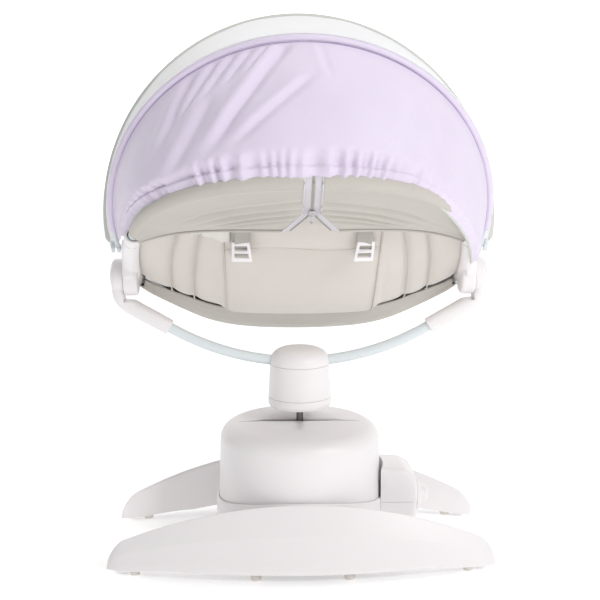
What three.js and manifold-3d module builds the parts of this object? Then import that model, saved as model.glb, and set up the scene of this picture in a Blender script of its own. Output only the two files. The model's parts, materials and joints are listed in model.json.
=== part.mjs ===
// Powered baby swing on a round base with two crescent feet, a U-shaped carrier,
// a sling seat on an oval ring and a folding canopy.
// Millimetres. +Z up, +X to the swing's side with the dial, +Y towards the foot end.
import * as THREE from "three";
import Module from "manifold-3d";
import { mergeVertices } from "three/addons/utils/BufferGeometryUtils.js";

const wasm = await Module();
wasm.setup();

// ---------------------------------------------------------------- driving dimensions
const CENTRE_SHIFT = -15.7; // moves the drum's axis so that the origin is under the middle of the box
const GAP = 0.3; // clearance between pieces that touch on the real swing
const PAD_HEIGHT = 12;
const WALL = 3;

const DRUM_RADIUS = 121; // at its lower edge
const DRUM_TOP_RADIUS = 117.5;
const DRUM_TOP = 193;
const DRUM_FILLET = 20;
const HOUSING_RADIUS = 124.5;
const HOUSING_LOW = 80; // height of the saddle-shaped upper edge at the sides
const HOUSING_HIGH = 105; // and at the front and back
const SLOT_HALF_LENGTH = 93;
const SLOT_HALF_WIDTH = 7;

const FOOT_HALF_WIDTH = 280;
const FOOT_RIDGE = 107;
const FOOT_INNER_Y = 125.5;
const FOOT_OUTER_Y = 158;
const FOOT_WALL = 3;

const PIVOT_Z = 85; // swing axis, along Y
const AXLE_RADIUS = 5;
const STEM_RADIUS = 5;
const CUP_BOTTOM = 216;
const CUP_SEAM = 231;
const CUP_LID = 280;
const CUP_TOP = 304;
const CUP_RADIUS = 46.5;

const CARRIER_LOW = 282.5; // centre line of the U-shaped carrier at the middle
const CARRIER_BEND = 373; // its bend radius
const CARRIER_RADIUS = 7.5;
const ELBOW_X = 264;
const ELBOW_HALF = 9;
const HUB_Z = 412; // recline axis, along X
const HUB_RADIUS = 25;

const BRACKET_X = 244.5;
const BRACKET_HALF = 10.2;
const RING_RADIUS = 7.5; // of the seat ring's tube
const RING_HALF_WIDTH = 242;
const RING_BACK = 260;
const RING_FRONT = 300;
const RING_POWER = 2.3;

const BOW_PIVOT_X = 259.2;
const BOW_PIVOT_Y = -20;
const BOW_PIVOT_Z = 455;
const BOW_RADIUS = 3.5;
const BOW_REACH = 328;
const BOW_HALF_WIDTH = 266;
const BOW_STEP = 8; // the front bow passes outside the rear one
const REAR_BOW_ANGLE = 27.5; // leaning back from vertical
const FRONT_BOW_ANGLE = 15; // leaning forward

const DIAL_X = 174;
const DIAL_Z = 75;
const LINER_DEPTH = 62;
const LINER_THICKNESS = 6;

// ---------------------------------------------------------------- finishes
const finish = (color, roughness, metalness = 0) => () =>
  new THREE.MeshStandardMaterial({ color, roughness, metalness });
const whitePlastic = finish(0xf3f0f0, 0.42);
const innerPlastic = finish(0xd9d9d6, 0.6);
const rubber = finish(0xe6e2de, 0.85);
const coatedSteel = finish(0xe0e7e9, 0.35, 0.2);
const bareSteel = finish(0x7b7d80, 0.3, 0.9);
const copper = finish(0xb5693a, 0.4, 0.8);
const magnetGrey = finish(0x55575a, 0.5, 0.6);
const boardGreen = finish(0x2d6a45, 0.6);
const lavenderSatin = finish(0xd8cbe2, 0.5);
const roofMesh = finish(0xeef0f0, 0.8);
const taupeKnit = finish(0xc3beb4, 0.85);
const linerKnit = finish(0xd8d3cd, 0.9);
const webbing = finish(0xb9b4ac, 0.85);
const zipMetal = finish(0xd0d0d2, 0.35, 0.6);

// ---------------------------------------------------------------- geometry helpers
const vec = (x, y, z) => new THREE.Vector3(x, y, z);
const radians = THREE.MathUtils.degToRad;
const square = (value) => value * value;

/** A curve given by a function of 0..1. */
class PathCurve extends THREE.Curve {
  constructor(pointAt) {
    super();
    this.pointAt = pointAt;
  }

  getPoint(t, target = new THREE.Vector3()) {
    return target.copy(this.pointAt(t));
  }
}

/** Shared vertices, no normals, faces turned outwards. */
function closed(geometry) {
  const bare = new THREE.BufferGeometry();
  bare.setAttribute("position", geometry.getAttribute("position").clone());
  bare.setIndex(geometry.getIndex());
  const merged = mergeVertices(bare, 1e-4);
  const position = merged.getAttribute("position");
  const index = merged.getIndex().array;
  const kept = [];
  let volume = 0;
  for (let i = 0; i < index.length; i += 3) {
    const [a, b, c] = [index[i], index[i + 1], index[i + 2]];
    if (a === b || b === c || a === c) continue;
    kept.push(a, b, c);
    const [p, q, r] = [a, b, c].map((k) => new THREE.Vector3().fromBufferAttribute(position, k));
    volume += p.dot(q.cross(r));
  }
  if (volume < 0) kept.reverse();
  merged.setIndex(kept);
  return merged;
}

function solidOf(geometry) {
  const merged = closed(geometry);
  const mesh = new wasm.Mesh({
    numProp: 3,
    vertProperties: new Float32Array(merged.getAttribute("position").array),
    triVerts: new Uint32Array(merged.getIndex().array),
  });
  return new wasm.Manifold(mesh);
}

function geometryOf(solid) {
  const mesh = solid.getMesh();
  const geometry = new THREE.BufferGeometry();
  geometry.setAttribute("position", new THREE.BufferAttribute(mesh.vertProperties, 3));
  geometry.setIndex(new THREE.BufferAttribute(mesh.triVerts, 1));
  return geometry;
}

const join = (...pieces) => geometryOf(pieces.map(solidOf).reduce((whole, next) => whole.add(next)));

function cut(piece, ...tools) {
  return geometryOf(tools.map(solidOf).reduce((rest, tool) => rest.subtract(tool), solidOf(piece)));
}

/** A profile of [radius, height] points turned about Z. */
function turned(profile, segments = 32) {
  const points = profile.map(([radius, height]) => new THREE.Vector2(Math.max(radius, 0), height));
  return new THREE.LatheGeometry(points, segments).rotateX(Math.PI / 2);
}

/** The same for a ring: its profile closes on itself. */
const turnedRing = (profile, segments = 32) => turned([...profile, profile[0]], segments);

function block(sizeX, sizeY, sizeZ, x, y, z) {
  return new THREE.BoxGeometry(sizeX, sizeY, sizeZ).translate(x, y, z);
}

/** A cylinder between two heights along the named axis, through (x, y, z) on the other two. */
function rod(axis, radius, from, to, x, y, z, sides = 20) {
  const geometry = new THREE.CylinderGeometry(radius, radius, to - from, sides);
  const middle = (from + to) / 2;
  if (axis === "x") return geometry.rotateZ(Math.PI / 2).translate(middle, y, z);
  if (axis === "y") return geometry.translate(x, middle, z);
  return geometry.rotateX(Math.PI / 2).translate(x, y, middle);
}

function tube(pointAt, radius, sides, steps, bore = 0) {
  const shape = new THREE.Shape();
  shape.absarc(0, 0, radius, 0, 2 * Math.PI);
  if (bore > 0) {
    const hole = new THREE.Path();
    hole.absarc(0, 0, bore, 0, 2 * Math.PI, true);
    shape.holes.push(hole);
  }
  const extrudePath = new PathCurve(pointAt);
  const options = { steps, curveSegments: sides / 2, bevelEnabled: false, extrudePath };
  return new THREE.ExtrudeGeometry(shape, options);
}

function bodyOf(points, index) {
  const geometry = new THREE.BufferGeometry();
  const positions = points.flatMap((point) => point.toArray());
  geometry.setAttribute("position", new THREE.Float32BufferAttribute(positions, 3));
  geometry.setIndex(index);
  return closed(geometry);
}

/** Sections of equal point counts skinned into one closed body, with fans over its two ends. */
function loft(sections, looped = false) {
  const columns = sections[0].length;
  const points = sections.flat();
  const index = [];
  const last = sections.length - 1;
  for (let i = 0; i < (looped ? last + 1 : last); i += 1) {
    const [row, nextRow] = [i * columns, ((i + 1) % sections.length) * columns];
    for (let j = 0; j < columns; j += 1) {
      const next = (j + 1) % columns;
      index.push(row + j, row + next, nextRow + next, row + j, nextRow + next, nextRow + j);
    }
  }
  if (looped) return bodyOf(points, index);
  [0, last].forEach((end) => {
    const middle = new THREE.Vector3();
    sections[end].forEach((point) => middle.addScaledVector(point, 1 / columns));
    points.push(middle);
    const centre = points.length - 1;
    for (let j = 0; j < columns; j += 1) {
      const pair = [end * columns + j, end * columns + ((j + 1) % columns)];
      index.push(centre, ...(end === 0 ? pair.reverse() : pair));
    }
  });
  return bodyOf(points, index);
}

const steps = (count) => Array.from({ length: count + 1 }, (_, i) => i / count);

/** A sheet of even thickness over a grid of 0..1 by 0..1. */
function sheet(pointAt, countU, countV, thickness) {
  const nudge = 1e-3;
  const offset = (u, v, side) => {
    const alongU = pointAt(Math.min(u + nudge, 1), v).sub(pointAt(Math.max(u - nudge, 0), v));
    const alongV = pointAt(u, Math.min(v + nudge, 1)).sub(pointAt(u, Math.max(v - nudge, 0)));
    const normal = alongU.cross(alongV).normalize();
    return pointAt(u, v).addScaledVector(normal, (side * thickness) / 2);
  };
  const sections = steps(countU).map((u) => [
    ...steps(countV).map((v) => offset(u, v, 1)),
    ...steps(countV).reverse().map((v) => offset(u, v, -1)),
  ]);
  return stitched(sections, countV);
}

/** Rings of two facing rows closed by end strips that follow the rows. */
function stitched(sections, countV) {
  const columns = 2 * (countV + 1);
  const index = [];
  for (let i = 0; i + 1 < sections.length; i += 1) {
    for (let j = 0; j < columns; j += 1) {
      const next = (j + 1) % columns;
      const [a, b] = [i * columns + j, i * columns + next];
      const [c, d] = [(i + 1) * columns + next, (i + 1) * columns + j];
      index.push(a, b, c, a, c, d);
    }
  }
  for (let j = 0; j < countV; j += 1) {
    const far = columns - 1 - j;
    const end = (sections.length - 1) * columns;
    index.push(j, far, far - 1, j, far - 1, j + 1);
    index.push(end + j, end + far - 1, end + far, end + j, end + j + 1, end + far - 1);
  }
  return bodyOf(sections.flat(), index);
}

/** A dish between a lower and an upper surface, each a function of radius 0..1 and angle. */
function dish(lowerAt, upperAt, radii, segments) {
  const points = [];
  const index = [];
  [lowerAt, upperAt].forEach((surfaceAt, layer) => {
    const start = points.length;
    points.push(surfaceAt(0, 0));
    radii.forEach((radius) => {
      for (let k = 0; k < segments; k += 1) points.push(surfaceAt(radius, (k / segments) * 2 * Math.PI));
    });
    const face = (a, b, c) => index.push(...(layer === 0 ? [a, c, b] : [a, b, c]));
    for (let k = 0; k < segments; k += 1) {
      const next = (k + 1) % segments;
      face(start, start + 1 + k, start + 1 + next);
      for (let ring = 0; ring + 1 < radii.length; ring += 1) {
        const [inner, outer] = [start + 1 + ring * segments, start + 1 + (ring + 1) * segments];
        face(inner + k, outer + k, outer + next);
        face(inner + k, outer + next, inner + next);
      }
    }
  });
  const layerSize = 1 + radii.length * segments;
  const rim = 1 + (radii.length - 1) * segments;
  for (let k = 0; k < segments; k += 1) {
    const next = (k + 1) % segments;
    index.push(rim + k, rim + next, layerSize + rim + next);
    index.push(rim + k, layerSize + rim + next, layerSize + rim + k);
  }
  return bodyOf(points, index);
}

// ---------------------------------------------------------------- shared curves
const signedPower = (value, power) => Math.sign(value) * Math.abs(value) ** power;

/** Height of the seat ring's centre line: the back rises, the front drops a little. */
function ringHeight(y) {
  if (y < 0) return HUB_Z + 2 - 0.76 * y - 0.000615 * y * y;
  return HUB_Z + 2 - 0.25 * y - 0.0006 * y * y;
}

/** Half the ring's width at y, drawn in by an inset. */
function ringHalfWidth(y, inset = 0) {
  const power = y < 0 ? RING_POWER : 2;
  const length = (y < 0 ? RING_BACK : RING_FRONT) - inset;
  const rest = Math.max(0, 1 - (Math.abs(y) / length) ** power);
  return (RING_HALF_WIDTH - inset) * rest ** (1 / power);
}

/** Point on the back half of the ring; angle 0 at +X, PI at -X. */
function ringBack(angle, outset = 0, rise = 0) {
  const x = (RING_HALF_WIDTH + outset) * signedPower(Math.cos(angle), 2 / RING_POWER);
  const y = -(RING_BACK + outset) * Math.abs(Math.sin(angle)) ** (2 / RING_POWER);
  return vec(x, y, ringHeight(y) + rise);
}

function ringFront(angle, outset = 0, rise = 0) {
  const x = (RING_HALF_WIDTH + outset) * Math.cos(angle);
  const y = (RING_FRONT + outset) * Math.sin(angle);
  return vec(x, y, ringHeight(y) + rise);
}

/** Carrier centre line: one arc through the hub cup; the angle is measured at the arc's centre. */
function carrierPoint(side, angle) {
  const x = side * CARRIER_BEND * Math.sin(angle);
  return vec(x, 0, CARRIER_LOW + CARRIER_BEND * (1 - Math.cos(angle)));
}

/** A canopy bow seen square on: across and up along its own plane; t runs 0..1. */
function bowProfile(t, grow) {
  const startX = BOW_PIVOT_X + grow;
  const halfWidth = BOW_HALF_WIDTH + grow;
  const shoulder = 55;
  const dip = Math.acos(Math.min(1, startX / halfWidth));
  const angle = -dip + t * (Math.PI + 2 * dip);
  const lift = Math.sin(angle);
  const drop = shoulder / Math.sin(dip);
  const reach = lift > 0 ? shoulder + (BOW_REACH + grow - shoulder) * lift : shoulder + drop * lift;
  return [halfWidth * Math.cos(angle), reach];
}

/** Turns a bow's profile about the canopy pivots; a positive lean goes forward. */
function bowPoint(t, leanDegrees, grow) {
  const [x, reach] = bowProfile(t, grow);
  const lean = radians(leanDegrees);
  return vec(x, BOW_PIVOT_Y + reach * Math.sin(lean), BOW_PIVOT_Z + reach * Math.cos(lean));
}

// ---------------------------------------------------------------- base
const PLATE_TOP = PAD_HEIGHT + 4;
const BATTERY_Y = 72;

function basePlate() {
  const outline = new THREE.Shape();
  outline.absarc(0, 0, HOUSING_RADIUS, 0, 2 * Math.PI);
  const hatch = new THREE.Path();
  hatch.moveTo(-46, BATTERY_Y - 24);
  hatch.lineTo(-46, BATTERY_Y + 24);
  hatch.lineTo(46, BATTERY_Y + 24);
  hatch.lineTo(46, BATTERY_Y - 24);
  hatch.closePath();
  outline.holes.push(hatch);
  const options = { depth: PLATE_TOP - PAD_HEIGHT - GAP, bevelEnabled: false, curveSegments: 24 };
  return new THREE.ExtrudeGeometry(outline, options).translate(0, 0, PAD_HEIGHT);
}

function drumProfile(inset) {
  const arc = steps(4).map((t) => {
    const angle = t * radians(84);
    const centreRadius = DRUM_TOP_RADIUS - DRUM_FILLET;
    const radius = centreRadius + (DRUM_FILLET - inset) * Math.cos(angle);
    return [radius, DRUM_TOP - 4 - DRUM_FILLET + (DRUM_FILLET - inset) * Math.sin(angle)];
  });
  return [[DRUM_RADIUS - inset, HOUSING_LOW - 4], ...arc, [0, DRUM_TOP - inset]];
}

function drumCover() {
  const shell = turned([...drumProfile(WALL).reverse(), ...drumProfile(0)], 40);
  const lens = new THREE.Shape();
  lens.moveTo(-SLOT_HALF_LENGTH, 0);
  lens.quadraticCurveTo(0, 2 * SLOT_HALF_WIDTH, SLOT_HALF_LENGTH, 0);
  lens.quadraticCurveTo(0, -2 * SLOT_HALF_WIDTH, -SLOT_HALF_LENGTH, 0);
  const slot = new THREE.ExtrudeGeometry(lens, { depth: 60, bevelEnabled: false, curveSegments: 7 });
  return cut(shell, slot.translate(0, 0, 150));
}

/** The skirt below the drum; its upper edge rises towards the two feet. */
function lowerHousing() {
  const inner = DRUM_RADIUS + 0.5;
  const sections = steps(36).slice(0, -1).map((t) => {
    const angle = t * 2 * Math.PI;
    const top = HOUSING_LOW + (HOUSING_HIGH - HOUSING_LOW) * square(Math.sin(angle));
    const profile = [
      [inner, PLATE_TOP],
      [HOUSING_RADIUS, PLATE_TOP],
      [HOUSING_RADIUS, top - 2],
      [inner + 1.5, top],
      [inner, top],
    ];
    return profile.map(([radius, z]) => vec(radius * Math.cos(angle), radius * Math.sin(angle), z));
  });
  return loft(sections, true);
}

/** Cross-section of a crescent foot at x; inset draws it in for the hollow. */
function footSection(x, side, inset) {
  const s = Math.abs(x) / FOOT_HALF_WIDTH;
  const roundFrom = 0.88;
  const past = Math.max(0, (s - roundFrom) / (1 - roundFrom));
  const taper = Math.sqrt(Math.max(0.02, 1 - past * past));
  const inner = FOOT_INNER_Y - 24 * s * s;
  const outer = FOOT_OUTER_Y - 36 * s * s;
  const middle = (inner + outer) / 2;
  const half = ((outer - inner) / 2) * (0.35 + 0.65 * taper) - inset;
  const ridge = PAD_HEIGHT + (FOOT_RIDGE - 72 * s * s - PAD_HEIGHT) * taper - 3 * inset;
  const arch = PAD_HEIGHT + 14 * Math.max(0, 1 - square(s / 0.6));
  const bottom = inset > 0 ? PAD_HEIGHT - 5 : PAD_HEIGHT;
  const innerBottom = inset > 0 ? bottom : arch;
  const tall = ridge - PAD_HEIGHT;
  const near = middle - half;
  const far = middle + half;
  const profile = [
    [near, innerBottom],
    [near, ridge - 0.08 * tall],
    [near + 0.12 * half, ridge],
    [near + 0.45 * half, ridge - 0.06 * tall],
    [near + 1.3 * half, ridge - 0.5 * tall],
    [far, PAD_HEIGHT + 0.12 * tall],
    [far, bottom + Math.min(1, 0.06 * tall)],
    [far - 1, bottom],
  ];
  return profile.map(([y, z]) => vec(x, side * y, z));
}

function foot(side) {
  const stations = (half, inset) =>
    steps(20).map((t) => footSection(-half * Math.cos(t * Math.PI), side, inset));
  const shell = loft(stations(FOOT_HALF_WIDTH, 0));
  const hollow = loft(stations(FOOT_HALF_WIDTH - 14, FOOT_WALL));
  const bosses = PAD_PLACES.map((x) => rod("z", 10, 0, 140, x, padY(x, side), 0, 10));
  return cut(shell, cut(hollow, ...bosses));
}

const PAD_PLACES = [-238, -66, 66, 238];

function padY(x, side) {
  const s = x / FOOT_HALF_WIDTH;
  return side * ((FOOT_INNER_Y + FOOT_OUTER_Y) / 2 - 30 * s * s);
}

function footPad(x, side) {
  const y = padY(x, side);
  const profile = [[0, 0], [7, 0], [8.5, PAD_HEIGHT - GAP], [0, PAD_HEIGHT - GAP]];
  return turned(profile, 10).translate(x, y, 0);
}

function podOutline(inset) {
  const shape = new THREE.Shape();
  const [left, right, low, high] = [112, DIAL_X - inset, PLATE_TOP + inset, 128 - inset];
  shape.moveTo(left, low);
  shape.lineTo(right, low);
  shape.lineTo(right, high - 34);
  shape.bezierCurveTo(right, high - 16, right - 12, high - 4, right - 28, high - 2);
  shape.lineTo(left, high);
  shape.closePath();
  return shape;
}

function podBlock(inset, halfDepth) {
  const options = { depth: 2 * halfDepth, bevelEnabled: false, curveSegments: 6 };
  const solid = new THREE.ExtrudeGeometry(podOutline(inset), options);
  return solid.rotateX(Math.PI / 2).translate(0, halfDepth, 0);
}

const POD_HALF_DEPTH = 38;
const JACK_X = 152;
const JACK_Z = 38;

function sidePod() {
  const drumSpace = rod("z", HOUSING_RADIUS + GAP, 0, 200, 0, 0, 0, 48);
  const shaftHole = rod("x", 3.6, DIAL_X - 10, DIAL_X + 10, 0, 0, DIAL_Z);
  const jackHole = rod("y", 6 + GAP, POD_HALF_DEPTH - 8, POD_HALF_DEPTH + 8, JACK_X, 0, JACK_Z);
  const inside = podBlock(WALL, POD_HALF_DEPTH - WALL);
  return cut(podBlock(0, POD_HALF_DEPTH), inside, drumSpace, shaftHole, jackHole);
}

function speedKnob() {
  const profile = [
    [0, DIAL_X - 8],
    [3.2, DIAL_X - 8],
    [3.2, DIAL_X + 1],
    [23, DIAL_X + 1],
    [24.5, DIAL_X + 3],
    [22, DIAL_X + 6.5],
    [14.5, DIAL_X + 8],
    [14, DIAL_X + 14],
    [11, DIAL_X + 19],
    [5, DIAL_X + 21],
    [0, DIAL_X + 21],
  ];
  return turned(profile, 20).rotateY(Math.PI / 2).translate(0, 0, DIAL_Z);
}

function powerJack() {
  const ends = [POD_HALF_DEPTH - 12, POD_HALF_DEPTH + 1];
  const body = rod("y", 6, ends[0], ends[1], JACK_X, 0, JACK_Z);
  return cut(body, rod("y", 3.2, ends[0] + 2, ends[1] + 1, JACK_X, 0, JACK_Z));
}

function batteryBox() {
  const outer = block(98, 54, 36, 0, BATTERY_Y, PLATE_TOP + 18);
  return cut(outer, block(92, 48, 36, 0, BATTERY_Y, PLATE_TOP + 15));
}

function batteryDoor() {
  const door = block(91, 47, 2.6, 0, BATTERY_Y, PAD_HEIGHT + 1.6);
  return cut(door, rod("z", 2, PAD_HEIGHT - 1, PAD_HEIGHT + 5, 38, BATTERY_Y, 0, 12));
}

function doorScrew() {
  const profile = [
    [0, PAD_HEIGHT - 1.8],
    [3.2, PAD_HEIGHT - 1.8],
    [3.2, PAD_HEIGHT],
    [1.6, PAD_HEIGHT],
    [1.6, PAD_HEIGHT + 10],
    [0, PAD_HEIGHT + 11],
  ];
  return turned(profile, 12).translate(38, BATTERY_Y, 0);
}

const POST_Y = 34;
const POST_HALF = 4;

function pivotFrame() {
  const flange = block(64, 2 * (POST_Y + POST_HALF), 4, 0, 0, PLATE_TOP + 2);
  const post = (side) => {
    const shape = new THREE.Shape();
    shape.moveTo(-26, PLATE_TOP + 2);
    shape.lineTo(26, PLATE_TOP + 2);
    shape.lineTo(15, PIVOT_Z);
    shape.absarc(0, PIVOT_Z, 15, 0, Math.PI);
    shape.closePath();
    const options = { depth: 2 * POST_HALF, bevelEnabled: false, curveSegments: 12 };
    const solid = new THREE.ExtrudeGeometry(shape, options).rotateX(Math.PI / 2);
    return solid.translate(0, side * POST_Y + POST_HALF, 0);
  };
  const bore = rod("y", 9 + 2 * GAP, -60, 60, 0, 0, PIVOT_Z, 18);
  const coilSpace = rod("z", 18, 0, 60, 0, 0, 0, 16);
  return cut(join(flange, post(-1), post(1)), bore, coilSpace);
}

function bearing(side) {
  const inner = AXLE_RADIUS + GAP;
  const profile = [[inner, -POST_HALF], [9, -POST_HALF], [9, POST_HALF], [inner, POST_HALF]];
  return turnedRing(profile, 18).rotateX(Math.PI / 2).translate(0, side * POST_Y, PIVOT_Z);
}

function driveCoil() {
  const profile = [[7, PLATE_TOP + 0.3], [16, PLATE_TOP + 0.3], [16, PLATE_TOP + 17], [7, PLATE_TOP + 17]];
  return turnedRing(profile, 18);
}

/** Torsion spring round the axle between the yoke and a bearing post. */
function returnSpring() {
  const turns = 3.5;
  const helix = (t) => {
    const angle = t * turns * 2 * Math.PI;
    return vec(8.5 * Math.cos(angle), 18.5 + t * 9.5, PIVOT_Z + 8.5 * Math.sin(angle));
  };
  return tube(helix, 1.2, 6, 28);
}

function controlBoard() {
  const board = block(44, 62, 1.6, -82, 0, PLATE_TOP + 9);
  const feet = [-1, 1].flatMap((a) =>
    [-1, 1].map((b) => rod("z", 2.5, PLATE_TOP + GAP, PLATE_TOP + 8.6, -82 + a * 18, b * 26, 0, 10))
  );
  return join(board, ...feet);
}

function speaker() {
  const low = PLATE_TOP + GAP;
  const profile = [[0, low], [25, low], [25, low + 4], [16, low + 12], [14, low + 20], [0, low + 20]];
  return turned(profile, 24).translate(66, -48, 0);
}

// ---------------------------------------------------------------- swing arm
function axle() {
  return rod("y", AXLE_RADIUS, -POST_Y - 7, POST_Y + 7, 0, 0, PIVOT_Z);
}

const STEM_FOOT = PIVOT_Z + 15;

function swingYoke() {
  const hub = rod("y", 14, -16, 16, 0, 0, PIVOT_Z, 24);
  const socket = rod("z", 10, PIVOT_Z, PIVOT_Z + 36, 0, 0, 0, 24);
  const leg = block(16, 24, 34, 0, 0, PIVOT_Z - 20);
  const axleBore = rod("y", AXLE_RADIUS + GAP, -30, 30, 0, 0, PIVOT_Z, 12);
  const stemBore = rod("z", STEM_RADIUS + GAP, STEM_FOOT - GAP, PIVOT_Z + 50, 0, 0, 0);
  return cut(join(hub, socket, leg), axleBore, stemBore);
}

function magnet() {
  return new THREE.BoxGeometry(20, 24, 8, 2, 2, 1).translate(0, 0, PIVOT_Z - 41.3);
}

const stem = () => rod("z", STEM_RADIUS, STEM_FOOT, CARRIER_LOW - CARRIER_RADIUS - 3, 0, 0, 0);

/** Curved plate that travels under the drum's slot. */
function slotShield() {
  const arc = (t) => (t - 0.5) * 2 * radians(36);
  const section = (t) => {
    const angle = arc(t);
    const corner = (radius, y) => vec(radius * Math.sin(angle), y, PIVOT_Z + radius * Math.cos(angle));
    return [corner(92, -14), corner(94.5, -14), corner(94.5, 14), corner(92, 14)];
  };
  const stemHole = rod("z", STEM_RADIUS + GAP, PIVOT_Z, PIVOT_Z + 120, 0, 0, 0);
  return cut(loft(steps(14).map(section)), stemHole);
}

function hubRing() {
  const hole = STEM_RADIUS + GAP;
  const profile = [
    [hole, CUP_BOTTOM],
    [CUP_RADIUS - 4, CUP_BOTTOM],
    [CUP_RADIUS, CUP_BOTTOM + 4],
    [CUP_RADIUS, CUP_SEAM - GAP],
    [CUP_RADIUS - WALL, CUP_SEAM - GAP],
    [CUP_RADIUS - WALL, CUP_BOTTOM + 5],
    [hole, CUP_BOTTOM + 5],
  ];
  return turnedRing(profile, 28);
}

const carrierHole = () => rod("x", CARRIER_RADIUS + 1.6, -60, 60, 0, 0, CARRIER_LOW + 1.2, 12);

function hubCup() {
  const topRadius = 43.6;
  const floor = CUP_SEAM + 14;
  const hole = STEM_RADIUS + GAP;
  const profile = [
    [hole, floor],
    [CUP_RADIUS - WALL - 0.8, floor],
    [CUP_RADIUS - WALL, CUP_SEAM],
    [CUP_RADIUS, CUP_SEAM],
    [topRadius, CUP_LID - GAP],
    [topRadius - WALL, CUP_LID - GAP],
    [topRadius - WALL + 1.4, floor + 4],
    [hole, floor + 4],
  ];
  return cut(turnedRing(profile, 28), carrierHole());
}

function domeProfile(inset) {
  const radius = 43.6 - inset;
  const rise = CUP_TOP - CUP_LID - inset;
  return steps(4).map((t) => {
    const angle = (t * Math.PI) / 2;
    return [radius * Math.cos(angle) ** 0.62, CUP_LID + rise * Math.sin(angle) ** 0.8];
  });
}

function hubDome() {
  const shell = turned([...domeProfile(WALL).reverse(), ...domeProfile(0)], 28);
  return cut(shell, carrierHole());
}

const CARRIER_START = Math.asin(8 / CARRIER_BEND);
const CARRIER_END = Math.asin(200 / CARRIER_BEND);

function carrierArm(side) {
  const angle = (t) => CARRIER_START + t * (CARRIER_END - CARRIER_START);
  return tube((t) => carrierPoint(side, angle(t)), CARRIER_RADIUS, 10, 9, CARRIER_RADIUS - 1.5);
}

/** Elbow centre line: on the carrier's arc first, then a bend up into the hub. */
function elbowPath(side) {
  const socketAngle = Math.asin(190 / CARRIER_BEND);
  const start = carrierPoint(side, socketAngle);
  const out = vec(side * Math.cos(socketAngle), 0, Math.sin(socketAngle));
  const top = vec(side * ELBOW_X, 0, HUB_Z - 16);
  const first = start.clone().addScaledVector(out, 62);
  const second = vec(side * ELBOW_X, 0, HUB_Z - 42);
  return new THREE.CubicBezierCurve3(start, first, second, top);
}

function elbow(side) {
  const path = elbowPath(side);
  const count = 9;
  const sections = steps(count).map((t) => {
    const point = path.getPoint(t);
    const tangent = path.getTangent(t);
    const across = vec(tangent.z, 0, -tangent.x);
    const wide = 11 - 2 * t;
    const deep = 11 + 7 * t;
    return steps(12).slice(0, -1).map((turn) => {
      const angle = turn * 2 * Math.PI;
      const place = point.clone().addScaledVector(across, wide * Math.cos(angle));
      place.y += deep * Math.sin(angle);
      return place;
    });
  });
  const [inner, outer] = [ELBOW_X - ELBOW_HALF, ELBOW_X + ELBOW_HALF];
  const rim = [[HUB_RADIUS, outer - 6], [HUB_RADIUS - 2, outer - 2], [HUB_RADIUS - 6, outer]];
  const hub = turned(
    [[0, inner], [HUB_RADIUS, inner], ...rim, [0, outer]],
    24
  ).rotateY(Math.PI / 2).scale(side, 1, 1).translate(0, 0, HUB_Z);
  const innerSide = block(60, 80, 90, side * (inner - 30 + 0.02), 0, HUB_Z + 8);
  const socket = tube((t) => carrierPoint(side, Math.asin((180 + 21 * t) / CARRIER_BEND)),
    CARRIER_RADIUS + 2 * GAP, 10, 3);
  const buttonPocket = rod("x", BUTTON_RADIUS + 0.4, ELBOW_X - 6, ELBOW_X + 20, 0, 0, HUB_Z, 20);
  const pinHole = rod("x", 6 + GAP, ELBOW_X - 20, ELBOW_X, 0, 0, HUB_Z);
  const tools = [buttonPocket, pinHole].map((tool) => tool.scale(side, 1, 1));
  return cut(join(loft(sections), hub), innerSide, socket, ...tools);
}

const BUTTON_RADIUS = 12.5;

function reclineButton(side) {
  const inner = ELBOW_X - 2;
  const outer = ELBOW_X + ELBOW_HALF + 1.6;
  const rim = [[BUTTON_RADIUS, outer - 2], [BUTTON_RADIUS - 2.5, outer]];
  return turned([[0, inner], [BUTTON_RADIUS, inner], ...rim, [0, outer]], 20).rotateY(Math.PI / 2).scale(side, 1, 1).translate(0, 0, HUB_Z);
}

// ---------------------------------------------------------------- seat frame
const SOCKET_RADIUS = 12;

function bracket(side) {
  const [inner, outer] = [BRACKET_X - BRACKET_HALF, BRACKET_X + BRACKET_HALF];
  const hub = rod("x", 29, inner, outer, 0, 0, HUB_Z, 24);
  const pin = rod("x", 6, outer - 1, outer + 3, 0, 0, HUB_Z);
  const lug = rod("x", 12, inner + 4, outer, 0, BOW_PIVOT_Y, BOW_PIVOT_Z, 16);
  const web = block(outer - inner - 4, 22, 40, (inner + 4 + outer) / 2, BOW_PIVOT_Y - 2, BOW_PIVOT_Z - 22);
  const backSocket = tube((t) => ringBackAt(-4 - 96 * t), SOCKET_RADIUS, 12, 5);
  const frontSocket = tube((t) => ringFrontAt(4 + 44 * t), SOCKET_RADIUS - 1, 12, 3);
  const backBore = tube((t) => ringBackAt(-15 - 90 * t), RING_RADIUS + 2 * GAP, 10, 6);
  const frontBore = tube((t) => ringFrontAt(15 + 40 * t), RING_RADIUS + 2 * GAP, 10, 4);
  const outerSide = block(40, 120, 90, outer + 20, 0, HUB_Z - 2);
  const pieces = [hub, lug, web, backSocket, frontSocket];
  const body = cut(join(...pieces), outerSide, backBore, frontBore);
  return join(body, pin).scale(side, 1, 1);
}

/** Points of the ring's +X side by their y. */
const ringBackAt = (y) => vec(ringHalfWidth(y), y, ringHeight(y));
const ringFrontAt = (y) => vec(ringHalfWidth(y), y, ringHeight(y));

const angleAtBack = (y) => Math.asin((Math.abs(y) / RING_BACK) ** (RING_POWER / 2));
const angleAtFront = (y) => Math.asin(y / RING_FRONT);

function backRing() {
  const start = angleAtBack(16);
  const point = (t) => ringBack(start + t * (Math.PI - 2 * start));
  return tube(point, RING_RADIUS, 10, 30, RING_RADIUS - 1.5);
}

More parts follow.
